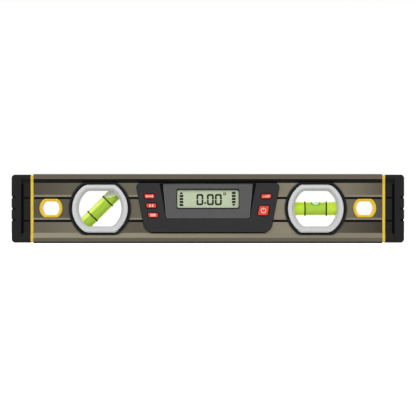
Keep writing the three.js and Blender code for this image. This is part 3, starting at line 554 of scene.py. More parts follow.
def fuse(piece, *others):
    return combine(piece, "UNION", *others)


def gather(pieces):
    """Joins pieces into one object, each still a closed shell of its own."""
    activate(pieces[0])
    for piece in pieces[1:]:
        piece.select_set(True)
    bpy.ops.object.join()
    return bpy.context.object


def copied(piece, matrix=None):
    activate(piece)
    bpy.ops.object.duplicate()
    return settle(bpy.context.object, matrix)


def finish(piece, name, material, nodes=(), body=BODY, smooth=SMOOTH_ANGLE):
    """Cleans and shades a piece, names it, says what it rides on, and hides the nodes it stands
    for.
    """
    with editing(piece):
        turn_outwards()
    activate(piece)
    bpy.ops.object.shade_smooth_by_angle(angle=smooth)
    bpy.ops.object.modifier_add(type="WEIGHTED_NORMAL")
    piece.modifiers[-1].keep_sharp = True
    bpy.ops.object.modifier_apply(modifier=piece.modifiers[-1].name)
    piece.name = piece.data.name = name
    piece.data.materials.clear()
    piece.data.materials.append(material)
    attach(piece, body)
    if nodes:
        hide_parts(*nodes)
    return piece


BACKWARDS = Matrix.Scale(-1, 4, (0, 1, 0))
OTHER_END = Matrix.Rotation(math.pi, 4, "Z")


def finish_twice(piece, matrix, material, slot, *named):
    """Finishes a piece and its copy moved by a matrix, each with its name and its node."""
    other = copied(piece, matrix)
    for made, (name, node) in zip((piece, other), named):
        finish(made, name, material, [node])


# Node helpers

def put(tree, kind, inputs=None, **fields):
    """Adds a node, sets its fields, and fills its inputs with values or other nodes' sockets."""
    made = tree.nodes.new(kind)
    for name, value in fields.items():
        setattr(made, name, value)
    for key, value in (inputs or {}).items():
        if isinstance(value, NodeSocket):
            tree.links.new(value, made.inputs[key])
        else:
            made.inputs[key].default_value = value
    return made


def math_node(tree, operation, *values):
    return put(tree, "ShaderNodeMath", dict(enumerate(values)), operation=operation).outputs[0]


def mixed(tree, factor, first, second, blend="MIX"):
    made = put(
        tree, "ShaderNodeMix", {0: factor, 6: first, 7: second}, data_type="RGBA", blend_type=blend,
    )
    return made.outputs[2]


def rgba(colour, factor=1.0):
    return (*(channel * factor for channel in colour[:3]), 1.0)


def new_group(name, inputs, outputs):
    """Starts a shader node group with named inputs, given with their defaults, and outputs."""
    tree = bpy.data.node_groups.new(name, "ShaderNodeTree")
    kinds = {float: "NodeSocketFloat", tuple: "NodeSocketColor"}
    for label, default in inputs.items():
        socket = tree.interface.new_socket(label, in_out="INPUT", socket_type=kinds[type(default)])
        socket.default_value = default
    for label, kind in outputs.items():
        tree.interface.new_socket(label, in_out="OUTPUT", socket_type=kinds[kind])
    return tree, tree.nodes.new("NodeGroupInput").outputs, tree.nodes.new("NodeGroupOutput").inputs


def grain_group(name, stretch):
    """A grain that varies colour, roughness and height, drawn out by a stretch."""
    if name in bpy.data.node_groups:
        return bpy.data.node_groups[name]
    tree, given, made = new_group(
        name,
        {"Colour": (0.5, 0.5, 0.5, 1.0), "Roughness": 0.5, "Scale": 500.0, "Contrast": 0.1},
        {"Colour": tuple, "Roughness": float, "Height": float},
    )

    def noise(place, scale, detail):
        """A noise, and its swing round nought as wide as the contrast."""
        value = put(
            tree, "ShaderNodeTexNoise", {"Vector": place, "Scale": scale, "Detail": detail},
        ).outputs[0]
        centred = math_node(tree, "SUBTRACT", value, 0.5)
        return value, math_node(tree, "MULTIPLY", centred, given["Contrast"])

    place = tree.nodes.new("ShaderNodeTexCoord").outputs["Object"]
    drawn = put(tree, "ShaderNodeMapping", {"Vector": place, "Scale": stretch}).outputs[0]
    fine, swing = noise(drawn, given["Scale"], 4.0)
    drift = noise(place, 22.0, 3.0)[1]
    level = math_node(tree, "ADD", math_node(tree, "MULTIPLY_ADD", swing, 2.0, drift), 1.0)
    shaded = put(
        tree, "ShaderNodeVectorMath", {"Vector": given["Colour"], "Scale": level},
        operation="SCALE",
    )
    rough = math_node(tree, "MULTIPLY_ADD", drift, 1.5, given["Roughness"])
    tree.links.new(shaded.outputs[0], made["Colour"])
    tree.links.new(rough, made["Roughness"])
    tree.links.new(fine, made["Height"])
    return tree


def even_grain():
    return grain_group("Even grain", (1, 1, 1))


def drawn_grain():
    return grain_group("Grain drawn along X", (0.012, 1, 1))


BUMP_STRENGTH = 0.6
Surface = namedtuple(
    "Surface", "roughness scale contrast bump shine metallic", defaults=(0.2, 0.0),
)

# Roughness, then how fine the grain is, how far it varies the colour and how high it stands in
# millimetres, then the specular level and how metallic the surface is
SURFACES = {
    "Anodised aluminium": Surface(0.45, 2600.0, 0.07, 0.012, metallic=0.6),
    "Moulded rubber": Surface(0.62, 1300.0, 0.16, 0.05, shine=0.09),
    "Yellow ring": Surface(0.42, 1200.0, 0.05, 0.01),
    "Yellow plastic": Surface(0.4, 1200.0, 0.05, 0.01),
    "Black frame": Surface(0.38, 1400.0, 0.1, 0.012, shine=0.08),
    "Pale carrier": Surface(0.4, 900.0, 0.04, 0.008),
    "Clear plastic": Surface(0.05, 400.0, 0.03, 0.002, metallic=1.0),
    "Dyed body": Surface(0.2, 400.0, 0.04, 0.002),
    "Vial line": Surface(0.5, 1500.0, 0.1, 0.005),
    "Housing plastic": Surface(0.46, 1900.0, 0.09, 0.02, shine=0.08),
    "Panel plastic": Surface(0.42, 2200.0, 0.06, 0.012),
    "Printed mask": Surface(0.3, 1500.0, 0.1, 0.002),
    "Liquid crystal": Surface(0.5, 1800.0, 0.1, 0.002),
    "Liquid crystal cell": Surface(0.35, 700.0, 0.03, 0.002),
    "Red plastic": Surface(0.4, 700.0, 0.1, 0.01),
    "Pale print": Surface(0.5, 1500.0, 0.06, 0.003),
    "Door plastic": Surface(0.5, 1700.0, 0.1, 0.02, shine=0.08),
    "Dark zinc plate": Surface(0.34, 900.0, 0.1, 0.01, metallic=1.0),
    "Solder mask": Surface(0.35, 260.0, 0.3, 0.02),
    "Chip resin": Surface(0.5, 1600.0, 0.15, 0.01),
    "Tinned sheet": Surface(0.3, 900.0, 0.1, 0.01, metallic=1.0),
    "Cell sleeve": Surface(0.3, 500.0, 0.08, 0.004, metallic=0.3),
    "Diffuser": Surface(0.4, 600.0, 0.04, 0.004),
    "Elastomer strip": Surface(0.6, 900.0, 0.2, 0.01),
    "Pale floor": Surface(0.9, 30.0, 0.01, 0.0, shine=0.5),
}


def new_material(name):
    made = bpy.data.materials.new(name)
    made.use_nodes = True
    return made, made.node_tree, made.node_tree.nodes["Principled BSDF"]


def grained(tree, shader, colour, surface, group=None):
    """Gives a shader its colour and the values of its surface, through a grain group."""
    grain = put(tree, "ShaderNodeGroup", node_tree=group or even_grain())
    for key in ("Roughness", "Scale", "Contrast"):
        grain.inputs[key].default_value = getattr(surface, key.lower())
    if isinstance(colour, NodeSocket):
        tree.links.new(colour, grain.inputs["Colour"])
    else:
        grain.inputs["Colour"].default_value = rgba(colour)
    height = put(tree, "ShaderNodeBump", {
        "Strength": BUMP_STRENGTH, "Distance": surface.bump * MM,
        "Height": grain.outputs["Height"],
    })
    tree.links.new(grain.outputs["Colour"], shader.inputs["Base Color"])
    tree.links.new(grain.outputs["Roughness"], shader.inputs["Roughness"])
    tree.links.new(height.outputs[0], shader.inputs["Normal"])
    shader.inputs["Specular IOR Level"].default_value = surface.shine
    shader.inputs["Metallic"].default_value = surface.metallic


def moulded(name, colour, depths=None):
    """A material with the surface of its name. depths lists (distance from the middle, tone), which
    paint shade and light by depth.
    """
    made, tree, shader = new_material(name)
    if depths:
        colour = toned(tree, colour, ramp(tree, depths, across(tree)))
    grained(tree, shader, colour, SURFACES[name])
    return made


def coordinate(tree, axis):
    place = tree.nodes.new("ShaderNodeTexCoord").outputs["Object"]
    return put(tree, "ShaderNodeSeparateXYZ", {0: place}).outputs[axis]


def placed(tree, place):
    """Object coordinates in a piece's own frame, given as the matrix that puts it in its place."""
    turned = put(
        tree, "ShaderNodeMapping",
        {"Vector": tree.nodes.new("ShaderNodeTexCoord").outputs["Object"],
         "Location": place.to_translation(), "Rotation": place.to_euler()},
        vector_type="TEXTURE",
    )
    return put(tree, "ShaderNodeSeparateXYZ", {0: turned.outputs[0]}).outputs


def across(tree):
    """Distance from the level's middle plane."""
    return math_node(tree, "ABSOLUTE", coordinate(tree, "Y"))


def ramp(tree, values, place, kind="LINEAR"):
    """A value, or a colour, that changes with a place. values is a list of (place, value)."""
    low, high = values[0][0], values[-1][0]
    ranged = put(tree, "ShaderNodeMapRange", {"Value": place, "From Min": low, "From Max": high})
    made = put(tree, "ShaderNodeValToRGB", {0: ranged.outputs[0]})
    made.color_ramp.interpolation = kind
    stops = made.color_ramp.elements
    stops.remove(stops[1])
    for i, (spot, value) in enumerate(values):
        stop = stops.new((spot - low) / (high - low)) if i else stops[0]
        stop.color = value if isinstance(value, tuple) else (value, value, value, 1)
    return made.outputs[0]


def painted_cavity_shade(edge, face, tone=0.05):
    """Painted shade, as a list of tone steps that darken what lies deeper than an edge, out to a
    face.
    """
    return [(0, tone), (edge, tone), (edge + 0.2 * MM, 1.0), (face, 1.0)]


def toned(tree, colour, tone):
    body = colour if isinstance(colour, NodeSocket) else rgba(colour)
    return mixed(tree, 1.0, body, tone, "MULTIPLY")


# Painted sheen: tone of the web along the profile, from its left end at -1 to its right end at 1
UPPER_PAINTED_SHEEN_SHARES = [
    (-1, 0.3), (-0.934, 0.345), (-0.847, 0.415), (-0.76, 0.465), (-0.416, 0.55), (0.414, 0.8),
    (0.471, 0.87), (0.786, 0.74), (0.872, 0.61), (0.94, 0.48), (1, 0.36),
]
MIDDLE_PAINTED_SHEEN_SHARES = [
    (-1, 0.36), (-0.76, 0.42), (-0.416, 0.54), (0.414, 0.93), (0.471, 0.95), (0.786, 0.6),
    (0.872, 0.5), (1, 0.32),
]
LOWER_PAINTED_SHEEN_SHARES = [
    (-1, 0.53), (-0.934, 0.54), (-0.847, 0.64), (-0.76, 0.7), (-0.416, 0.41), (0.414, 0.94),
    (0.471, 0.99), (0.786, 0.36), (0.872, 0.29), (0.94, 0.23), (1, 0.16),
]
WEB = -1.0
# Painted shade in and below the grooves, under the head and in recesses
PAINTED_SHADE_TONE = 0.03
# Painted shade on the foot's lower edge, the flange's own tone, and a painted highlight on the
# foot's slope
FOOT_SHADE_FLAT_AND_HIGHLIGHT_TONES = (0.04, 0.48, 0.73)
# Painted highlight on the lips above the grooves
LIP_HIGHLIGHT_TONE = 0.8
# Painted highlight along the head's lower edge, then the head's own tone
HEAD_HIGHLIGHT_AND_FLAT_TONES = (0.54, 0.46)
FLAT_TONE = 0.6


def anodised(chosen):
    """Anodised aluminium whose tone steps with its rails: painted shade under the head, in the
    grooves, along the foot's lower edge and in recesses, painted highlights on the lips, the foot's
    slope and the head's lower edge, and a painted sheen that drifts along its web.
    """
    made, tree, shader = new_material("Anodised aluminium")
    band = BAND_HALF.z + SEAT_GAP
    feet = (
        BAND_MIDDLE.z - band - chosen.lip_width - chosen.groove_width, BAND_MIDDLE.z + band,
    )
    head = HEIGHT - chosen.head_flat_height
    zones = [*zip((0, chosen.foot_edge_height, chosen.foot_flat_top), FOOT_SHADE_FLAT_AND_HIGHLIGHT_TONES)]
    zones.append((WEB_LOW - SHADE, WEB))
    for foot in feet:
        lip = foot + chosen.groove_width - SHADE
        zones += [
            (foot - 1.5 * SHADE, PAINTED_SHADE_TONE), (lip, LIP_HIGHLIGHT_TONE), (lip + chosen.lip_width, WEB),
        ]
    zones.append((WEB_TOP - 2 * SHADE, PAINTED_SHADE_TONE))
    zones += [*zip((head, head + 2 * SHADE, HEIGHT), (*HEAD_HIGHLIGHT_AND_FLAT_TONES, HEAD_HIGHLIGHT_AND_FLAT_TONES[1]))]
    height = coordinate(tree, "Z")
    tone = ramp(tree, [(spot, abs(value)) for spot, value in zones], height, "CONSTANT")
    web_zones = [(spot, float(value == WEB)) for spot, value in zones]
    is_web = ramp(tree, web_zones, height, "CONSTANT")
    along = coordinate(tree, "X")
    lower, middle, upper = (
        ramp(tree, [(spot * PROFILE_HIGH.x, value) for spot, value in shares], along)
        for shares in (LOWER_PAINTED_SHEEN_SHARES, MIDDLE_PAINTED_SHEEN_SHARES, UPPER_PAINTED_SHEEN_SHARES)
    )
    past_lower, past_middle = (math_node(tree, "GREATER_THAN", height, foot) for foot in feet)
    sheen = mixed(tree, past_middle, mixed(tree, past_lower, lower, middle), upper)
    web = HALF_DEPTH - chosen.web_recess
    # Painted shade on all that lies deeper than the web, such as the groove round the housing and
    # the walls of the openings
    inside = ramp(tree, [
        (0, PAINTED_SHADE_TONE), (web - 3 * DIP, PAINTED_SHADE_TONE), (web - 2 * DIP, 1.0), (HALF_DEPTH, 1.0),
    ], across(tree))
    side = mixed(tree, 1.0, mixed(tree, is_web, tone, sheen), inside, "MULTIPLY")
    below = math_node(tree, "LESS_THAN", height, TINY)
    above = math_node(tree, "GREATER_THAN", height, HEIGHT - TINY)
    is_flat = math_node(tree, "MAXIMUM", below, above)
    shade = mixed(tree, is_flat, side, rgba((1, 1, 1), FLAT_TONE))
    colour = toned(tree, chosen.colour, shade)
    grained(tree, shader, colour, SURFACES["Anodised aluminium"], drawn_grain())
    return made


def clear(name, colour, index):
    """Clear plastic: what is behind it shows, and its surface mirrors what stands before it."""
    made, tree, shader = new_material(name)
    grained(tree, shader, linear(252, 252, 252), SURFACES["Clear plastic"])
    body = put(tree, "ShaderNodeBsdfTransparent", {"Color": rgba(colour)})
    behind = tree.nodes.new("ShaderNodeNewGeometry").outputs["Backfacing"]
    outside = math_node(tree, "SUBTRACT", 1.0, behind)
    fresnel = put(tree, "ShaderNodeFresnel", {"IOR": index}).outputs[0]
    blend_into(tree, math_node(tree, "MULTIPLY", fresnel, outside), body, shader)
    return made


def blend_into(tree, factor, first, second, output="Material Output"):
    """Makes the surface a blend of two shaders."""
    blend = put(
        tree, "ShaderNodeMixShader", {0: factor, 1: first.outputs[0], 2: second.outputs[0]},
    )
    tree.links.new(blend.outputs[0], tree.nodes[output].inputs["Surface"])


def lit(tree, shader, colour, glow):
    """Lets a surface glow in its own colour."""
    shader.inputs["Emission Strength"].default_value = glow
    tree.links.new(colour, shader.inputs["Emission Color"])


def tint_body(tree, shader, colour, opacity, glow):
    """Finishes a dyed body of one piece, through which a little light passes, and which glows with
    painted light.
    """
    grained(tree, shader, colour, SURFACES["Dyed body"])
    lit(tree, shader, colour, glow)
    blend_into(tree, opacity, put(tree, "ShaderNodeBsdfTransparent"), shader)


def lit_button(chosen, face):
    """Translucent red plastic that is bright on its face, with painted deep red shade down its
    rounded edge and a painted glow.
    """
    made, tree, shader = new_material("Red plastic")
    bright, deep = rgba(chosen.colour), rgba(chosen.edge_shade_colour)
    colour = ramp(tree, [
        (face, bright), (face + 0.01 * MM, bright), (face + 0.08 * MM, deep), (0, deep),
    ], coordinate(tree, "Y"))
    grained(tree, shader, colour, SURFACES["Red plastic"])
    lit(tree, shader, colour, glow=0.15)
    return made


# Profile

def section_bar(start, end, inset=0.0, grooved=True):
    """A bar along X with the profile's section, drawn in by an inset."""
    chosen = settings("profile")
    edge, floor, top = HALF_DEPTH - inset, inset, HEIGHT - inset
    web = edge - chosen.web_recess
    head = HEIGHT - chosen.head_flat_height
    band = BAND_HALF.z + SEAT_GAP
    lips = (BAND_MIDDLE.z - band - chosen.lip_width, BAND_MIDDLE.z + band + chosen.groove_width)
    levels = [
        chosen.foot_edge_height + inset, chosen.foot_flat_top, WEB_LOW, WEB_TOP, head,
        top - chosen.head_edge,
    ]
    columns = []
    moves = [
        (edge, lambda z: WEB_LOW - TINY < z < WEB_TOP + TINY, -chosen.web_recess),
        (edge, lambda z: near(z, floor), -chosen.foot_edge_width),
        (edge, lambda z: near(z, top), -chosen.head_edge),
    ]
    if grooved:
        for lip in lips:
            levels += [lip - chosen.groove_width, lip, lip + chosen.lip_width]
        columns = [web - chosen.groove_depth, chosen.groove_depth - web]
        moves.append((web, lambda z: any(near(z, lip) for lip in lips), chosen.lip_rise))
    deselect()
    bpy.ops.mesh.primitive_plane_add(
        size=1, location=(start, 0, (floor + top) / 2), rotation=(0, QUARTER_TURN, 0),
    )
    piece = bpy.context.object
    piece.scale = (top - floor, 2 * edge, 1)
    settle(piece)
    with editing(piece):
        for level in levels:
            bpy.ops.mesh.select_all(action="SELECT")
            bpy.ops.mesh.bisect(plane_co=(start, 0, level), plane_no=(0, 0, 1))
        for column in columns:
            bpy.ops.mesh.select_all(action="SELECT")
            bpy.ops.mesh.bisect(plane_co=(start, column, 0), plane_no=(0, 1, 0))
        for way in (-1, 1):
            for depth, lies_there, distance in moves:
                shift(
                    lambda vertex: near(vertex.co.y, way * depth) and lies_there(vertex.co.z),
                    (0, way * distance, 0),
                )
        if grooved:
            pick("FACE", lambda face: abs(face.calc_center_median().y) > columns[0] and any(
                lip - chosen.groove_width < face.calc_center_median().z < lip for lip in lips
            ))
            bpy.ops.mesh.delete(type="FACE")
        bpy.ops.mesh.select_mode(type="FACE")
        bpy.ops.mesh.select_all(action="SELECT")
        extrude((end - start, 0, 0))
        turn_outwards()
        bpy.ops.mesh.dissolve_limited(angle_limit=math.radians(1))
    return piece


def round_long_edges(piece):
    return round_edges(
        piece, settings("profile").edge_radius,
        lambda edge: abs(edge.verts[0].co.x - edge.verts[1].co.x) > TINY, segments=2,
    )


def hollow_bar(start, end):
    return section_bar(start, end, settings("profile").web_thickness, grooved=False)


def node_disc(node, grow, start, end):
    """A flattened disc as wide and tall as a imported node, grown by a margin."""
    half, middle = span(node)
    return flat_disc(middle.x, middle.z, half.x + grow, half.z + grow, start, end)


MODULE_CORNERS = (9, 9, 5, 5)
MODULE_LAP = 3.2 * MM


def module_slab(inset, start, end, lap=0.0):
    """A slab with the display housing's outline, less an inset, and less a lap except on top."""
    reach = (MODULE_HIGH.x - MODULE_LOW.x) / 2
    slope = settings("buttons").lean
    low, high = MODULE_LOW.z + inset + lap, MODULE_HIGH.z - inset
    side = (inset + lap) * math.hypot(1, slope)
    low_reach, high_reach = (
        reach + (level - MODULE_HIGH.z) * slope - side for level in (low, high)
    )
    corners = [(-low_reach, low), (low_reach, low), (high_reach, high), (-high_reach, high)]
    radii = [max(radius * MM - inset - lap, MM) for radius in MODULE_CORNERS]
    return slab(corners, radii, start, end)


def make_profile():
    chosen, trim = settings("profile"), settings("trim")
    web = HALF_DEPTH - chosen.web_recess
    far = HALF_DEPTH + OVERRUN
    piece = round_long_edges(section_bar(PROFILE_LOW.x, PROFILE_HIGH.x))
    cut(piece, hollow_bar(PROFILE_LOW.x - OVERRUN, PROFILE_HIGH.x + OVERRUN))
    grow = settings("windows").barrel_wall + 2 * FIT_GAP
    for name in WINDOWS:
        rim = name + "_window_frame_front"
        cut(
            piece,
            node_disc(name + "_vial_carrier_front", grow, -far, far),
            node_disc(rim, FIT_GAP, -far, DIP - web),
            node_disc(rim, FIT_GAP, web - DIP, far),
        )
    grow = trim.barrel_wall + FIT_GAP
    for side in SIDES:
        middle = span(side + "_hang_bush_front")[1]
        cut(piece, flat_disc(
            middle.x, middle.z, trim.bore_radius + grow, trim.bore_half_height + grow, -far, far,
        ))
    # A shallow groove round the housing, which the profile's painted shade turns into a dark
    # outline
    deep = web - 2 * SHADE
    cut(
        piece,
        module_slab(-2 * FIT_GAP, -far, -deep),
        module_slab(-2 * FIT_GAP, deep, far),
        module_slab(0, -far, far, lap=MODULE_LAP),
    )
    finish(
        piece, "profile_extrusion", anodised(chosen), ["box_profile"],
        smooth=CRISP_ANGLE,
    )


# End caps and rings

def moulded_rubber(chosen, start, bumper_face, sleeve_web):
    """Rubber with painted shade in its notches, slots and grooves, and in a band under the
    profile's head.
    """
    made, tree, shader = new_material("Moulded rubber")
    depth = across(tree)
    bumper = ramp(tree, painted_cavity_shade(bumper_face - 0.5 * MM, bumper_face), depth)
    groove = ramp(tree, painted_cavity_shade(sleeve_web - 0.4 * MM, bumper_face), depth)
    head = HEIGHT - settings("profile").head_flat_height
    under_head_shade = ramp(
        tree, [(0, 1.0), (WEB_TOP - 2 * SHADE, 0.4), (head, 1.0), (HEIGHT, 1.0)],
        coordinate(tree, "Z"), "CONSTANT",
    )
    sleeve = mixed(tree, 1.0, groove, under_head_shade, "MULTIPLY")
    reach = math_node(tree, "ABSOLUTE", coordinate(tree, "X"))
    is_bumper = math_node(tree, "GREATER_THAN", reach, start)
    colour = toned(tree, chosen.colour, mixed(tree, is_bumper, sleeve, bumper))
    grained(tree, shader, colour, SURFACES["Moulded rubber"])
    return made


def mirrored(inner, outer):
    """Start and end of a stretch on an axis's negative side, and then on its positive side."""
    return (-outer, -inner), (inner, outer)


def make_caps():
    chosen, profile = settings("caps"), settings("profile")
    low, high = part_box("right_end_cap")
    reach, inset = high.y, low.z
    sleeve_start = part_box("right_end_ring")[1].x
    start = high.x - chosen.bumper_length
    bumper = block((start, -reach, low.z), (high.x, reach, high.z))
    round_edges(
        bumper, chosen.bumper_corner,
        lambda edge: lies_at(edge, 0, high.x) and any(
            lies_at(edge, 2, level) for level in (low.z, high.z)
        ),
        segments=8,
    )
    round_edges(bumper, chosen.bumper_edge, lambda edge: not lies_at(edge, 0, start))
    sleeve = round_long_edges(section_bar(sleeve_start, start + SEAT_GAP, inset))
    spigot = section_bar(
        low.x, sleeve_start + SEAT_GAP, profile.web_thickness + FIT_GAP, grooved=False,
    )
    piece = fuse(bumper, sleeve, spigot)
    web = HALF_DEPTH - profile.web_recess
    middle = HEIGHT / 2
    for mouth in mirrored(web - chosen.slot_depth, reach + OVERRUN):
        cut(piece, rounded_slab(
            start - chosen.slot_length / 2, middle, chosen.slot_length, chosen.slot_height,
            chosen.slot_length / 2 - SEAT_GAP, *mouth,
        ))
    half = chosen.notch_height / 2
    far = Vector((high.x + OVERRUN, reach + OVERRUN))
    for step in (-1, 0, 1):
        z = middle + step * chosen.notch_pitch
        cut(piece, block((high.x - chosen.notch_bite, -far.y, z - half), (*far, z + half)))
        notch_start = high.x - chosen.notch_reach
        for mouth in mirrored(reach - chosen.notch_depth, far.y):
            cut(piece, slab(
                [(notch_start, z - half), (far.x, z - half),
                 (far.x, z + half), (notch_start, z + half)],
                [half * 0.9, SEAT_GAP, SEAT_GAP, half * 0.9], *mouth,
            ))
    rubber = moulded_rubber(chosen, start, reach, web - inset)
    finish_twice(
        piece, OTHER_END, rubber, "end_cap",
        *((side + "_cap_moulding", side + "_end_cap") for side in reversed(SIDES)),
    )


def make_rings():
    low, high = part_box("right_end_ring")
    piece = round_long_edges(section_bar(low.x, high.x, low.z, grooved=False))
    cut(piece, hollow_bar(low.x - OVERRUN, high.x + OVERRUN))
    yellow = moulded("Yellow ring", settings("trim").ring_colour)
    finish_twice(
        piece, OTHER_END, yellow, "yellow_plastic",
        *((side + "_ring_band", side + "_end_ring") for side in reversed(SIDES)),
    )


# Hang hole bushes

def bush_painted_light_colours(chosen, face):
    """Colours by depth: a plain flange, painted orange shade in the groove round it, and a pale
    painted highlight on the slope into a plain bore.
    """
    plain, line, pale = (
        rgba(colour) for colour in (chosen.colour, chosen.line_ink_and_groove_shade_colour, chosen.flare_highlight_colour)
    )
    steps = [
        (1.2, plain), (1.1, pale), (0.5, pale), (0.4, line), (0.25, line), (0.15, plain),
        (0, plain),
    ]
    return [(0, plain)] + [(face - depth * MM, colour) for depth, colour in steps]


def make_bushes():
    chosen = settings("trim")
    web = HALF_DEPTH - settings("profile").web_recess
    face = -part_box("left_hang_bush_front")[0].y
    yellow = moulded("Yellow plastic", (1, 1, 1), bush_painted_light_colours(chosen, face))
    for side in SIDES:
        node = side + "_hang_bush_front"
        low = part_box(node)[0]
        half, middle = span(node)
        x, z = middle.x, middle.z
        piece = flat_disc(x, z, half.x, half.z, low.y, -web)
        round_edges(piece, chosen.edge_radius, lambda edge: lies_at(edge, 1, low.y))
        wall = chosen.barrel_wall
        fuse(piece, flat_disc(
            x, z, chosen.bore_radius + wall, chosen.bore_half_height + wall, -web - SEAT_GAP, 0,
        ))
        outer = chosen.line_inset
        inner = outer + chosen.line_width
        ring = flat_disc(
            x, z, half.x - outer, half.z - outer, low.y - OVERRUN, low.y + chosen.line_width,
        )
        core = flat_disc(
            x, z, half.x - inner, half.z - inner, low.y - 2 * OVERRUN, low.y + OVERRUN,
        )
        cut(piece, cut(ring, core))
        cut(piece, flat_disc(
            x, z, chosen.bore_radius, chosen.bore_half_height, low.y + chosen.bore_flare, OVERRUN,
            flare=chosen.bore_flare * 0.8, flare_depth=chosen.bore_flare,
        ))
        finish_twice(
            piece, BACKWARDS, yellow, "yellow_plastic",
            *((side + "_bush" + end, side + "_hang_bush" + end) for end in FACES),
        )


# Vial windows

def make_frames():
    chosen = settings("windows")
    face = -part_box("level_window_frame_front")[0].y
    # Painted shade on the frame's rounded edge and on the rim that lies behind its face
    black = moulded("Black frame", chosen.frame_colour, painted_cavity_shade(face - 0.35 * MM, face))
    web = HALF_DEPTH - settings("profile").web_recess
    for name in WINDOWS:
        node = name + "_window_frame_front"
        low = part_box(node)[0]
        half, middle = span(node)
        carrier_half = span(name + "_vial_carrier_front")[0]
        bore = (carrier_half.x + FIT_GAP, carrier_half.z + FIT_GAP)
        piece = flat_disc(middle.x, middle.z, half.x, half.z, low.y, -web)
        barrel = flat_disc(
            middle.x, middle.z, bore[0] + chosen.barrel_wall, bore[1] + chosen.barrel_wall,
            -web - SEAT_GAP, chosen.barrel_depth - web,
        )
        fuse(piece, barrel)
        cut(piece, flat_disc(middle.x, middle.z, *bore, low.y - OVERRUN, 0))
        round_edges(piece, chosen.frame_edge, lambda edge: lies_at(edge, 1, low.y))
        rim = [side + chosen.rim_width for side in bore]
        cut(piece, flat_disc(
            middle.x, middle.z, *rim, low.y - OVERRUN, low.y + chosen.rim_depth,
        ))
        finish_twice(
            piece, BACKWARDS, black, "window_frame",
            *((name + "_frame" + end, name + "_window_frame" + end) for end in FACES),
        )


def vial_place(name):
    """Matrix that takes a vial from the X axis to its window."""
    middle = span(name + "_vial_carrier_front")[1]
    place = Matrix.Translation((middle.x, 0, middle.z))
    return place @ Matrix.Rotation(-math.pi / 4, 4, "Y") if name == "diagonal" else place


def dyed_spirit(name, chosen, radius):
    """Spirit that is brighter beyond the lines, with a painted highlight along its upper side and a
    little along its lower edge.
    """
    made, tree, shader = new_material("Dyed spirit, " + name)
    parts = placed(tree, vial_place(name))
    from_middle = math_node(tree, "ABSOLUTE", parts["X"])
    beyond = math_node(tree, "GREATER_THAN", from_middle, line_sizes()[1])
    inner, outer = {
        "level": (chosen.level_colour, chosen.level_end_colour),
        "diagonal": (chosen.diagonal_colour, chosen.diagonal_colour),
    }[name]
    body = mixed(tree, beyond, rgba(inner), rgba(outer))
    light = ramp(
        tree, [(share * radius, value) for share, value in SPIRIT_PAINTED_HIGHLIGHT_SHARES[name]], parts["Z"],
    )
    pale = mixed(tree, light, body, rgba(chosen.highlight_colour))
    tint_body(tree, shader, pale, opacity=0.9, glow=0.34)
    return made


def vial_rod(radius, start, end):
    return rod(radius, start, end, axis="X", sides=ROUND_SIDES)


def vial_sizes():
    """Radius and half length of a vial's tube."""
    half = span("level_vial_tube")[0]
    return half.z, half.x


def line_sizes():
    """Half the width of a vial's line, and its place along the vial."""
    half, middle = span("level_vial_line_b")
    return half.x, middle.x - span("level_vial_tube")[1].x


def make_carriers():
    chosen = settings("windows")
    face = -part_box("level_vial_carrier_front")[0].y
    rim = face - chosen.funnel_depth
    # Painted shade on what lies deeper than the carrier's face, down its funnel to the opening
    funnel_shade_tones = [(0, 0.8), (rim, 0.8), (face - 0.5 * MM, 1.0), (face, 1.0)]
    pale = moulded("Pale carrier", chosen.carrier_colour, funnel_shade_tones)
    radius, reach = vial_sizes()
    for name in WINDOWS:
        node = name + "_vial_carrier_front"
        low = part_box(node)[0]
        half, middle = span(node)
        piece = flat_disc(middle.x, middle.z, half.x, half.z, low.y, 0)
        round_edges(piece, chosen.carrier_edge, lambda edge: lies_at(edge, 1, low.y), segments=4)
        cut(piece, flat_disc(
            middle.x, middle.z, chosen.opening_radius, chosen.opening_half_height,
            low.y + chosen.funnel_depth, OVERRUN,
            flare=chosen.funnel_width, flare_depth=chosen.funnel_depth,
        ))
        seat = vial_rod(radius + FIT_GAP, -reach - FIT_GAP, reach + FIT_GAP)
        cut(piece, settle(seat, vial_place(name)))
        finish_twice(
            piece, BACKWARDS, pale, "vial_carrier",
            *((name + "_carrier" + end, name + "_vial_carrier" + end) for end in FACES),
        )


# Vials

def bubble_air(chosen):
    """A pale bubble, painted with a dark green shade along its oval outline."""
    half, middle = span("level_vial_bubble")
    made, tree, shader = new_material("Bubble")
    object_place = tree.nodes.new("ShaderNodeTexCoord").outputs["Object"]
    scaled = put(
        tree, "ShaderNodeMapping",
        {"Vector": object_place, "Location": (middle.x, 0, middle.z + half.z),
         "Scale": (half.x, 1, 2 * half.z)},
        vector_type="TEXTURE",
    )
    parts = put(tree, "ShaderNodeSeparateXYZ", {0: scaled.outputs[0]}).outputs
    flat = put(tree, "ShaderNodeCombineXYZ", {"X": parts["X"], "Z": parts["Z"]})
    inward = put(tree, "ShaderNodeTexGradient", {0: flat.outputs[0]}, gradient_type="SPHERICAL")
    colour = ramp(tree, [
        (0, rgba(chosen.rim_shade_colour)), (0.16, rgba(chosen.rim_shade_colour)),
        (0.34, rgba(chosen.bubble_colour)), (1, rgba(chosen.bubble_colour)),
    ], inward.outputs["Fac"])
    tint_body(tree, shader, colour, opacity=0.95, glow=0.3)
    return made


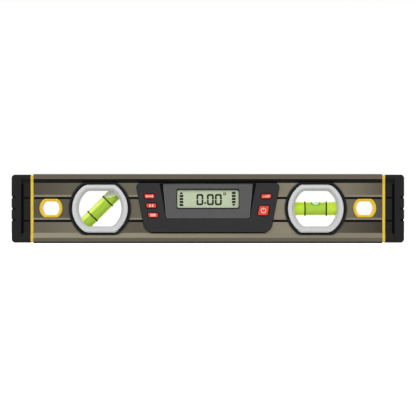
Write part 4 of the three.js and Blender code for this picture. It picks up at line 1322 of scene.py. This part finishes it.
def trapped_air(chosen, surface, middle):
    """Clear air above the curved surface of the spirit in the diagonal vial, with painted shade and
    then a painted highlight along the surface line.
    """
    made, tree, shader = new_material("Trapped air")
    aside = math_node(tree, "SUBTRACT", coordinate(tree, "X"), middle)
    square = math_node(tree, "MULTIPLY", aside, aside)
    rise = math_node(tree, "MULTIPLY", square, chosen.surface_curve / MM)
    height = math_node(tree, "SUBTRACT", coordinate(tree, "Z"), rise)
    spirit, rim, pale, air = (
        rgba(colour) for colour in
        (chosen.diagonal_colour, chosen.rim_shade_colour, chosen.highlight_colour, chosen.air_colour)
    )
    steps = [(-2, spirit), (0, spirit), (1, rim), (1.5, rim), (3, pale), (5, pale), (8, air)]
    colour = ramp(
        tree, [(surface + step * chosen.surface_edge, colour) for step, colour in steps], height,
    )
    tint_body(tree, shader, colour, opacity=0.92, glow=0.2)
    return made


# How strong the painted highlight on the spirit is across a vial, from its lower side at -1 to its
# upper side at 1
SPIRIT_PAINTED_HIGHLIGHT_SHARES = {
    "level": [(-1, 0.25), (-0.86, 0.0), (0.62, 0.0), (0.78, 0.5), (1, 0.7)],
    "diagonal": [(-1, 0.1), (-0.85, 0.0), (0.28, 0.0), (0.6, 1.0), (0.8, 0.9), (1, 0.4)],
}


def make_tube(name, chosen, place, acrylic, ink):
    """The tube of a vial, its plug and its two lines."""
    radius, reach = vial_sizes()
    bore = radius - chosen.wall
    plug_low, plug_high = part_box("level_vial_plug")
    tube = vial_rod(radius, -reach, reach)
    round_edges(tube, chosen.end_radius, lambda edge: True)
    cut(tube, vial_rod(bore, chosen.end_wall - reach, reach + OVERRUN))
    finish(settle(tube, place), name + "_tube", acrylic, [name + "_vial_tube"])

    plug = vial_rod(bore - FIT_GAP, reach - (plug_high.x - plug_low.x), reach - FIT_GAP)
    round_edges(plug, chosen.end_radius, lambda edge: True)
    finish(settle(plug, place), name + "_plug", acrylic, [name + "_vial_plug"])

    half, line_place = line_sizes()
    for way, end in ((-1, "a"), (1, "b")):
        start = way * line_place - half
        ring = vial_rod(radius + chosen.line_rise, start, start + 2 * half)
        cut(ring, vial_rod(bore + SEAT_GAP, start - OVERRUN, start + OVERRUN))
        node = f"{name}_vial_line_{end}"
        finish(settle(ring, place), f"{name}_line_{end}", ink, [node])


def level_bubble(skin, radius):
    """An oval bubble against the top of the level vial, cut from its skin."""
    half, middle = span("level_vial_bubble")
    oval = rod(1, -radius, radius, sides=ROUND_SIDES)
    oval.scale = (half.x, 1, 2 * half.z)
    oval.location.z = middle.z - span("level_vial_carrier_front")[1].z + half.z
    return combine(settle(oval), "INTERSECT", skin)


def diagonal_bubble(skin, level):
    """The air above a level in the diagonal vial, cut from its skin."""
    with editing(skin):
        bpy.ops.mesh.bisect(
            plane_co=(0, 0, level), plane_no=(0, 0, -1), use_fill=True, clear_outer=True,
        )
    return skin


def make_vials():
    chosen = settings("vials")
    radius, reach = vial_sizes()
    bore = radius - chosen.wall
    plug_low, plug_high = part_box("level_vial_plug")
    end = reach - (plug_high.x - plug_low.x) - FIT_GAP
    acrylic = clear("Clear acrylic", chosen.acrylic_colour, index=1.35)
    ink = moulded("Vial line", chosen.line_ink_and_groove_shade_colour)
    for name in WINDOWS:
        place = vial_place(name)
        make_tube(name, chosen, place, acrylic, ink)
        liquid = vial_rod(bore - FIT_GAP, chosen.end_wall - reach + FIT_GAP, end)
        round_edges(liquid, chosen.end_radius, lambda edge: True)
        spirit = dyed_spirit(name, chosen, radius)
        node = name + "_vial_spirit"
        finish(settle(liquid, place), name + "_spirit", spirit, [node])

        start = -reach if name == "level" else chosen.air_start
        skin = vial_rod(bore - FIT_GAP + chosen.film, start, end)
        if name == "level":
            bubble = settle(level_bubble(skin, radius), place)
            air = bubble_air(chosen)
        else:
            middle = span("diagonal_vial_carrier_front")[1]
            surface = middle.z + chosen.surface_height
            bubble = diagonal_bubble(settle(skin, place), surface)
            air = trapped_air(chosen, surface, middle.x + chosen.surface_middle)
        round_edges(bubble, 0.3 * MM, lambda edge: True)
        finish(
            bubble, name + "_bubble_air", air, [name + "_vial_bubble"],
            body=name + "_bubble",
        )


# Display

def panel_place():
    """Matrix that leans an upright piece, drawn with its face at zero, back onto the panel."""
    chosen = settings("display")
    foot = PANEL_LOW.z + chosen.panel_thickness * math.sin(chosen.tilt)
    return Matrix.Translation((0, PANEL_LOW.y, foot)) @ Matrix.Rotation(-chosen.tilt, 4, "X")


def panel_plastic(chosen, place):
    """Grey plastic with a painted highlight on its rounded edge, and painted light up its slope
    where the head shades it.
    """
    made, tree, shader = new_material("Panel plastic")
    parts = placed(tree, place)
    edge_highlight_steps = [(0, 0.0), (0.03 * MM, 0.0), (0.1 * MM, 1.0), (0.4 * MM, 1.0)]
    slope_light_steps = [(0, 0.0), (chosen.panel_height - 4 * MM, 0.0), (chosen.panel_height, 0.3)]
    edge = ramp(tree, edge_highlight_steps, parts["Y"])
    slope = ramp(tree, slope_light_steps, parts["Z"])
    painted_lightness = math_node(tree, "MAXIMUM", edge, slope)
    colour = mixed(tree, painted_lightness, rgba(chosen.panel_colour), rgba(chosen.panel_edge_highlight_colour))
    grained(tree, shader, colour, SURFACES["Panel plastic"])
    return made


def housing_copy(node):
    """A merged copy of a packed housing, free of its place in the frame."""
    shell = copied(frame["nodes"][node])
    shell.parent = None
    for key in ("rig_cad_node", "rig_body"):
        if key in shell:
            del shell[key]
    with editing(shell):
        turn_outwards()
        bpy.ops.mesh.dissolve_limited(angle_limit=math.radians(1))
    return shell


def make_display():
    chosen = settings("display")
    place = panel_place()
    face = -MODULE_LOW.y
    # Painted shade on the housing's rounded edge, as a dark outline round the module
    housing = moulded(
        "Housing plastic", chosen.housing_colour, painted_cavity_shade(face - chosen.housing_edge, face),
    )
    shell = housing_copy("display_housing")
    finish(shell, "housing_moulding", housing, ["display_housing"])

    thickness = chosen.panel_thickness
    foot, top = chosen.panel_foot_reach, chosen.panel_height
    top_reach = foot + top * chosen.panel_slope
    panel = slab(
        [(-foot, 0), (foot, 0), (top_reach, top), (-top_reach, top)],
        [chosen.panel_corner] * 2 + [chosen.panel_top_corner] * 2, 0, thickness,
    )
    round_edges(panel, chosen.panel_edge, lambda edge: lies_at(edge, 1, 0))

    def window_slab(grow_width, grow_height, corner, start, end):
        """A slab as large as the panel's window, grown by a width and a height."""
        return rounded_slab(
            0, chosen.window_rise, chosen.window_width + grow_width,
            chosen.window_height + grow_height, corner, start, end,
        )

    corner = chosen.window_corner
    cut(panel, window_slab(0, 0, corner, -OVERRUN, OVERRUN + thickness))
    grey = panel_plastic(chosen, place)
    finish(settle(panel, place), "panel_plate", grey, ["display_panel"])

    lens_near = thickness + FIT_GAP
    lap = chosen.mask_lap
    mask = window_slab(lap, lap, corner, thickness + SEAT_GAP, lens_near - SEAT_GAP / 3)
    cut(mask, window_slab(
        -2 * chosen.mask_side, -2 * chosen.mask_end, chosen.mask_corner, -OVERRUN, 2 * OVERRUN,
    ))
    black = moulded("Printed mask", chosen.mask_colour)
    finish(settle(mask, place), "display_mask", black)

    lap = 2 * chosen.lens_lap
    lens_far = lens_near + chosen.lens_thickness
    lens = window_slab(lap, lap, corner, lens_near, lens_far)
    round_edges(lens, chosen.lens_edge, lambda edge: lies_at(edge, 1, lens_near))
    glass = clear("Display window", chosen.lens_colour, index=1.2)
    finish(settle(lens, place), "lens_window", glass, ["display_lens"])
    make_digits(place, lens_far + FIT_GAP)


# What the display shows, in millimetres across and above its middle
DIGIT_PLACES = ((-8.12, -0.8), (2.53, -0.8), (10.68, -0.8))
DIGIT_CORNER, DIGIT_INNER_CORNER, HALF_GAP = 2, 0.7, 0.25
POINT_PLACE, POINT_RADIUS = (-2.86, -4.3), 1.0
DEGREE_PLACE, DEGREE_RADIUS, DEGREE_BORE = (17.1, 5.1), 1.5, 0.75
BAR_COLUMNS = ((-27, 0), (26.4, 4))
BAR_TOP, BAR_PITCH, BAR_ROWS = 5.9, 3.05, 5
BAR_WIDTH, BAR_HEIGHT, ARROW_TIP, ARROW_CORNER = 3.8, 2.3, 0.2, 0.1
SHAPES_RISE, SHAPES_NEAR, SHAPES_FAR = 0.25, 0.12, 0.02


def make_digit(x, z, depths, through):
    """A nought made of two halves."""
    chosen = settings("display")
    width, height, stroke = chosen.digit_width, chosen.digit_height, chosen.stroke
    digit = rounded_slab(x, z, width, height, DIGIT_CORNER * MM, *depths)
    cut(digit, rounded_slab(
        x, z, width - 2 * stroke, height - 2 * stroke, DIGIT_INNER_CORNER * MM, *through,
    ))
    gap = HALF_GAP * MM
    return cut(digit, block(
        (x - width, through[0], z - gap), (x + width, through[1], z + gap),
    ))


def make_bar(x, z, way, depths):
    """A level bar, or an arrow that points up or down its column."""
    width, height, tip = BAR_WIDTH * MM, BAR_HEIGHT * MM, ARROW_TIP * MM
    if not way:
        return rounded_slab(x, z, width, height, tip, *depths)
    low_reach, high_reach = (width / 2, tip) if way > 0 else (tip, width / 2)
    low, high = z - height / 2, z + height / 2
    corners = [
        (x - low_reach, low), (x + low_reach, low), (x + high_reach, high), (x - high_reach, high),
    ]
    return slab(corners, [ARROW_CORNER * MM] * 4, *depths)


def make_digits(place, cell_near):
    """Digits, degree ring and level bars, as thin raised shapes on the display's cell."""
    chosen = settings("display")
    depths = (cell_near - SHAPES_NEAR * MM, cell_near - SHAPES_FAR * MM)
    through = (depths[0] - OVERRUN, depths[1] + OVERRUN)
    middle = chosen.window_rise + SHAPES_RISE * MM
    shapes = [make_digit(x * MM, middle + z * MM, depths, through) for x, z in DIGIT_PLACES]
    x, z = POINT_PLACE
    shapes.append(rod(POINT_RADIUS * MM, *depths, middle=(x * MM, 0, middle + z * MM)))
    x, z = DEGREE_PLACE
    centre = (x * MM, 0, middle + z * MM)
    ring = rod(DEGREE_RADIUS * MM, *depths, middle=centre)
    shapes.append(cut(ring, rod(DEGREE_BORE * MM, *through, middle=centre)))
    for x, arrow_row in BAR_COLUMNS:
        for row in range(BAR_ROWS):
            way = (1 if row == 0 else -1) if row == arrow_row else 0
            z = middle + (BAR_TOP - row * BAR_PITCH) * MM
            shapes.append(make_bar(x * MM, z, way, depths))
    ink = moulded("Liquid crystal", chosen.digit_colour)
    finish(settle(gather(shapes), place), "display_digits", ink)


# Buttons

def leaning_slab(x, z, length, height, corner, start, end):
    """A slab whose sides lean with the housing's nearer side."""
    lean = math.copysign(settings("buttons").lean * height / 2, x)
    corners = [
        (x + a * length / 2 + b * lean, z + b * height / 2) for a, b in CORNER_SIDES
    ]
    return slab(corners, [corner] * 4, start, end)


# Each mark is made of bars, given as x, z, width and height in strokes of the mark.
MARK_BAR_SHARES = {
    "upper_left": [(-5, 0, 1.3, 3.6), (5, 0, 1.3, 3.6), (0, 0, 9, 1.4)],
    "middle_left": [(-2.2, 0, 2.2, 3.8), (2.2, 0, 2.2, 3.8)],
    "lower_left": [(0, 1.2, 9, 1.4), (0, -1.2, 9, 1.4)],
    "small_right": [
        (-4.2, -1, 1.5, 1.6), (-1.4, -0.6, 1.5, 2.4), (1.4, -0.2, 1.5, 3.2), (4.2, 0.2, 1.5, 4),
    ],
}


def make_mark(name, x, z, face):
    """A thin printed mark on a button's face: bars, or a ring with a bar for the power button."""
    chosen = settings("buttons")
    stroke = chosen.stroke
    depths = (face, face + chosen.print_thickness)
    through = (face - MM, face + chosen.print_thickness + MM)

    def bar(a, b, width, height):
        return rounded_slab(
            x + a * stroke, z + b * stroke, width * stroke, height * stroke, 0.3 * stroke,
            *depths,
        )

    if name in MARK_BAR_SHARES:
        return gather([bar(*shares) for shares in MARK_BAR_SHARES[name]])
    ring = rod(4.4 * stroke, *depths, middle=(x, 0, z))
    half = 1.5 * stroke
    cut(
        ring,
        rod(3.3 * stroke, *through, middle=(x, 0, z)),
        block((x - half, through[0], z), (x + half, through[1], z + 6 * stroke)),
    )
    return gather([ring, bar(0, 3, 1.1, 4.4)])


def make_buttons():
    chosen = settings("buttons")
    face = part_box("upper_left_button")[0].y + chosen.print_height
    red = lit_button(chosen, face)
    print_ink = moulded("Pale print", chosen.mark_colour)
    flange_near = FIT_GAP - HALF_DEPTH + settings("profile").web_recess
    flange_far = flange_near + chosen.flange_thickness
    for name in ("upper_left", "middle_left", "lower_left", "small_right", "large_right"):
        node, body = name + "_button", name + "_key"
        low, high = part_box(node)
        middle = span(node)[1]
        x, z = middle.x, middle.z
        length, height = chosen.length, chosen.height
        if name == "large_right":
            length, height = chosen.large_length, chosen.large_height
        cap = leaning_slab(x, z, length, height, chosen.corner, face, flange_near)
        round_edges(cap, chosen.crown, lambda edge: lies_at(edge, 1, face), segments=4)
        grow = 2 * chosen.flange
        flange = leaning_slab(
            x, z, length + grow, height + grow, chosen.corner + chosen.flange,
            flange_near - SEAT_GAP, flange_far,
        )
        stem = rod(chosen.stem_radius, flange_far - SEAT_GAP, high.y, middle=(x, 0, z))
        finish(gather([cap, flange, stem]), name + "_cap", red, [node], body=body)
        mark = make_mark(name, x, z, low.y)
        finish(mark, name + "_mark", print_ink, body=body)


# Back

def make_door():
    chosen = settings("back")
    low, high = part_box("battery_door")
    half, middle = span("battery_door")
    z, face = middle.z, high.y
    plate_near = face - chosen.door_plate
    door = rounded_slab(0, z, 2 * half.x, 2 * half.z, chosen.door_corner, plate_near, face)
    round_edges(door, chosen.door_edge, lambda edge: lies_at(edge, 1, face))
    notch_x = half.x - MM
    cut(door, rod(
        chosen.notch_radius, face - chosen.notch_depth, face + OVERRUN,
        middle=(notch_x, 0, z), sides=ROUND_SIDES,
    ))
    for step in range(1, 4):
        x = notch_x - chosen.notch_radius - step * chosen.rib_pitch
        fuse(door, rounded_slab(
            x, z, chosen.rib_width, chosen.rib_length, 0.35 * MM,
            face - MM, face + chosen.rib_rise,
        ))
    rib_half = chosen.rib_length / 2
    rib_end = half.x - chosen.inner_rib_inset
    for inner, outer in mirrored(rib_end - chosen.inner_rib_width, rib_end):
        fuse(door, block(
            (inner, low.y, z - rib_half), (outer, plate_near + SEAT_GAP, z + rib_half),
        ))
    # Painted shade on the door's rounded edge, in its thumb notch and on all that lies deeper than
    # its face
    cover = moulded("Door plastic", chosen.door_colour, painted_cavity_shade(face - chosen.door_edge, face))
    finish(door, "battery_cover", cover, ["battery_door"], body="door")


def make_screw(number, steel):
    chosen = settings("back")
    node = f"housing_screw_{number}"
    low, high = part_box(node)
    half, middle = span(node)
    head_near = high.y - chosen.head_height
    head = rod(half.x, head_near, high.y, middle=(middle.x, 0, middle.z))
    round_edges(head, chosen.head_edge, lambda edge: lies_at(edge, 1, high.y))
    cross = (chosen.cross_width, chosen.cross_length)
    for wide, tall in (cross, cross[::-1]):
        cut(head, block(
            (middle.x - wide, high.y - chosen.cross_depth, middle.z - tall),
            (middle.x + wide, high.y + OVERRUN, middle.z + tall),
        ))
    shank = rod(
        chosen.shank_radius, low.y, head_near + SEAT_GAP, middle=(middle.x, 0, middle.z),
    )
    finish(gather([head, shank]), f"screw_{number}", steel, [node])


def make_back():
    shell = housing_copy("rear_housing")
    housing = bpy.data.materials["Housing plastic"]
    finish(shell, "rear_housing_moulding", housing, ["rear_housing"])
    make_door()
    steel = moulded("Dark zinc plate", settings("back").screw_colour)
    for number in range(1, 5):
        make_screw(number, steel)


# Electronics and cells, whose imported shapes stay

def dress(name, colour, *nodes):
    material = moulded(name, colour)
    for node in nodes:
        mesh = frame["nodes"][node].data
        mesh.materials.clear()
        mesh.materials.append(material)


def dress_inside():
    chosen = settings("inside")
    switches = [node for node in frame["nodes"] if node.endswith("_switch")]
    dress("Solder mask", chosen.board_colour, "circuit_board")
    dress("Chip resin", chosen.chip_colour, "processor", "buzzer")
    dress(
        "Tinned sheet", chosen.metal_colour, "tilt_sensor", "battery_bridge",
        "upper_battery_contact", "lower_battery_contact", *switches,
    )
    dress("Liquid crystal cell", settings("display").cell_colour, "lcd_cell")
    dress("Cell sleeve", chosen.cell_colour, "upper_battery", "lower_battery")
    dress("Diffuser", chosen.reflector_colour, "lcd_backlight")
    dress("Elastomer strip", chosen.connector_colour, "lcd_connector")


# Stage

FLOOR_SIDE = 16
LIGHT_TARGET = (0, 0, 0.035)
PICTURE_SIDE = 415
VIEW_END = 100


def shown_rays(tree):
    """One for camera, glossy and transmission rays, and nought for the light on the object."""
    path = tree.nodes.new("ShaderNodeLightPath").outputs
    either = math_node(tree, "MAXIMUM", path["Is Camera Ray"], path["Is Glossy Ray"])
    return math_node(tree, "MAXIMUM", either, path["Is Transmission Ray"])


def make_floor():
    chosen = settings("stage")
    deselect()
    bpy.ops.mesh.primitive_plane_add(size=FLOOR_SIDE, location=(0, 0, 0))
    floor = bpy.context.object
    floor.name = "floor"
    made, tree, shader = new_material("Pale floor")
    grained(tree, shader, chosen.floor_colour, SURFACES["Pale floor"])
    white = put(
        tree, "ShaderNodeEmission",
        {"Color": rgba(chosen.world_colour), "Strength": chosen.floor_light},
    )
    both = put(tree, "ShaderNodeAddShader", {0: shader.outputs[0], 1: white.outputs[0]})
    blend_into(tree, shown_rays(tree), shader, both)
    floor.data.materials.append(made)


def make_world():
    chosen = settings("stage")
    world = bpy.data.worlds.new("Soft surround")
    world.use_nodes = True
    bpy.context.scene.world = world
    tree = world.node_tree
    soft = tree.nodes["Background"]
    soft.inputs["Color"].default_value = rgba(chosen.world_colour)
    soft.inputs["Strength"].default_value = chosen.soft_light
    white = put(
        tree, "ShaderNodeBackground", {"Color": rgba(chosen.world_colour), "Strength": 1.0},
    )
    blend_into(tree, shown_rays(tree), soft, white, "World Output")


def add_lamp(name, place, width, power):
    deselect()
    bpy.ops.object.light_add(type="AREA", location=place)
    lamp = bpy.context.object
    lamp.name = name
    lamp.data.shape = "SQUARE"
    lamp.data.size = width
    lamp.data.energy = power
    sight = Vector(LIGHT_TARGET) - Vector(place)
    lamp.rotation_euler = sight.to_track_quat("-Z", "Y").to_euler()


def make_camera():
    chosen = settings("stage")
    deselect()
    bpy.ops.object.camera_add(
        location=(chosen.centre_x, PROFILE_LOW.y - chosen.distance, chosen.centre_z),
        rotation=(QUARTER_TURN, 0, 0),
    )
    camera = bpy.context.object
    camera.data.sensor_width = chosen.sensor / MM
    camera.data.lens = chosen.distance / (PICTURE_SIDE * chosen.pixel_size) * chosen.sensor / MM
    camera.data.clip_end = VIEW_END
    bpy.context.scene.camera = camera


def make_stage():
    make_floor()
    make_world()
    add_lamp("key_light", (-0.7, -1.3, 1.5), 0.9, 17)
    add_lamp("fill_light", (1.2, -1.5, 0.8), 1.2, 7)
    add_lamp("rear_light", (0.3, 1.5, 1.2), 1.2, 10)
    make_camera()
    bpy.context.scene.view_settings.view_transform = "Standard"


# Operators

class LEVEL_OT_profile(Operator):
    """Extrude the box profile and cut its openings"""
    bl_idname = "level.profile"
    bl_label = "Profile"

    def execute(self, context):
        make_profile()
        return {"FINISHED"}


class LEVEL_OT_end_caps(Operator):
    """Mould the two rubber end caps"""
    bl_idname = "level.end_caps"
    bl_label = "End Caps"

    def execute(self, context):
        make_caps()
        return {"FINISHED"}


class LEVEL_OT_end_rings(Operator):
    """Make the yellow rings beside the caps"""
    bl_idname = "level.end_rings"
    bl_label = "End Rings"

    def execute(self, context):
        make_rings()
        return {"FINISHED"}


class LEVEL_OT_hang_bushes(Operator):
    """Make the bushes of the hang holes"""
    bl_idname = "level.hang_bushes"
    bl_label = "Hang Bushes"

    def execute(self, context):
        make_bushes()
        return {"FINISHED"}


class LEVEL_OT_window_frames(Operator):
    """Make the black frames of the windows"""
    bl_idname = "level.window_frames"
    bl_label = "Window Frames"

    def execute(self, context):
        make_frames()
        return {"FINISHED"}


class LEVEL_OT_vial_carriers(Operator):
    """Make the pale carriers of the vials"""
    bl_idname = "level.vial_carriers"
    bl_label = "Vial Carriers"

    def execute(self, context):
        make_carriers()
        return {"FINISHED"}


class LEVEL_OT_vials(Operator):
    """Make the tubes, lines, spirit and bubbles"""
    bl_idname = "level.vials"
    bl_label = "Vials"

    def execute(self, context):
        make_vials()
        return {"FINISHED"}


class LEVEL_OT_display(Operator):
    """Make the housing, panel, window and digits"""
    bl_idname = "level.display"
    bl_label = "Display"

    def execute(self, context):
        make_display()
        return {"FINISHED"}


class LEVEL_OT_buttons(Operator):
    """Make the buttons and their marks"""
    bl_idname = "level.buttons"
    bl_label = "Buttons"

    def execute(self, context):
        make_buttons()
        return {"FINISHED"}


class LEVEL_OT_back(Operator):
    """Make the rear housing, battery cover and screws"""
    bl_idname = "level.back"
    bl_label = "Back"

    def execute(self, context):
        make_back()
        return {"FINISHED"}


class LEVEL_OT_inside(Operator):
    """Give the electronics and cells their finishes"""
    bl_idname = "level.inside"
    bl_label = "Inside"

    def execute(self, context):
        dress_inside()
        return {"FINISHED"}


class LEVEL_OT_stage(Operator):
    """Set the floor, light and camera"""
    bl_idname = "level.stage"
    bl_label = "Stage"

    def execute(self, context):
        make_stage()
        return {"FINISHED"}


OPERATORS = (
    LEVEL_OT_profile,
    LEVEL_OT_end_caps,
    LEVEL_OT_end_rings,
    LEVEL_OT_hang_bushes,
    LEVEL_OT_window_frames,
    LEVEL_OT_vial_carriers,
    LEVEL_OT_vials,
    LEVEL_OT_display,
    LEVEL_OT_buttons,
    LEVEL_OT_back,
    LEVEL_OT_inside,
    LEVEL_OT_stage,
)


class LEVEL_PT_sidebar(Panel):
    """Lists the level's pieces in the order in which they are made"""
    bl_label = "Spirit Level"
    bl_space_type = "VIEW_3D"
    bl_region_type = "UI"
    bl_category = "Spirit Level"

    def draw(self, context):
        for made in OPERATORS:
            self.layout.operator(made.bl_idname)


def register():
    for made in (*SETTINGS.values(), *OPERATORS, LEVEL_PT_sidebar):
        bpy.utils.register_class(made)
    for name, made in SETTINGS.items():
        setattr(bpy.types.Scene, "level_" + name, PointerProperty(type=made))


def unregister():
    for name in SETTINGS:
        delattr(bpy.types.Scene, "level_" + name)
    for made in reversed((*SETTINGS.values(), *OPERATORS, LEVEL_PT_sidebar)):
        bpy.utils.unregister_class(made)


def main():
    register()
    bpy.ops.level.profile()
    bpy.ops.level.end_caps()
    bpy.ops.level.end_rings()
    bpy.ops.level.hang_bushes()
    bpy.ops.level.window_frames()
    bpy.ops.level.vial_carriers()
    bpy.ops.level.vials()
    bpy.ops.level.display()
    bpy.ops.level.buttons()
    bpy.ops.level.back()
    bpy.ops.level.inside()
    bpy.ops.level.stage()


if __name__ == "__main__":
    main()
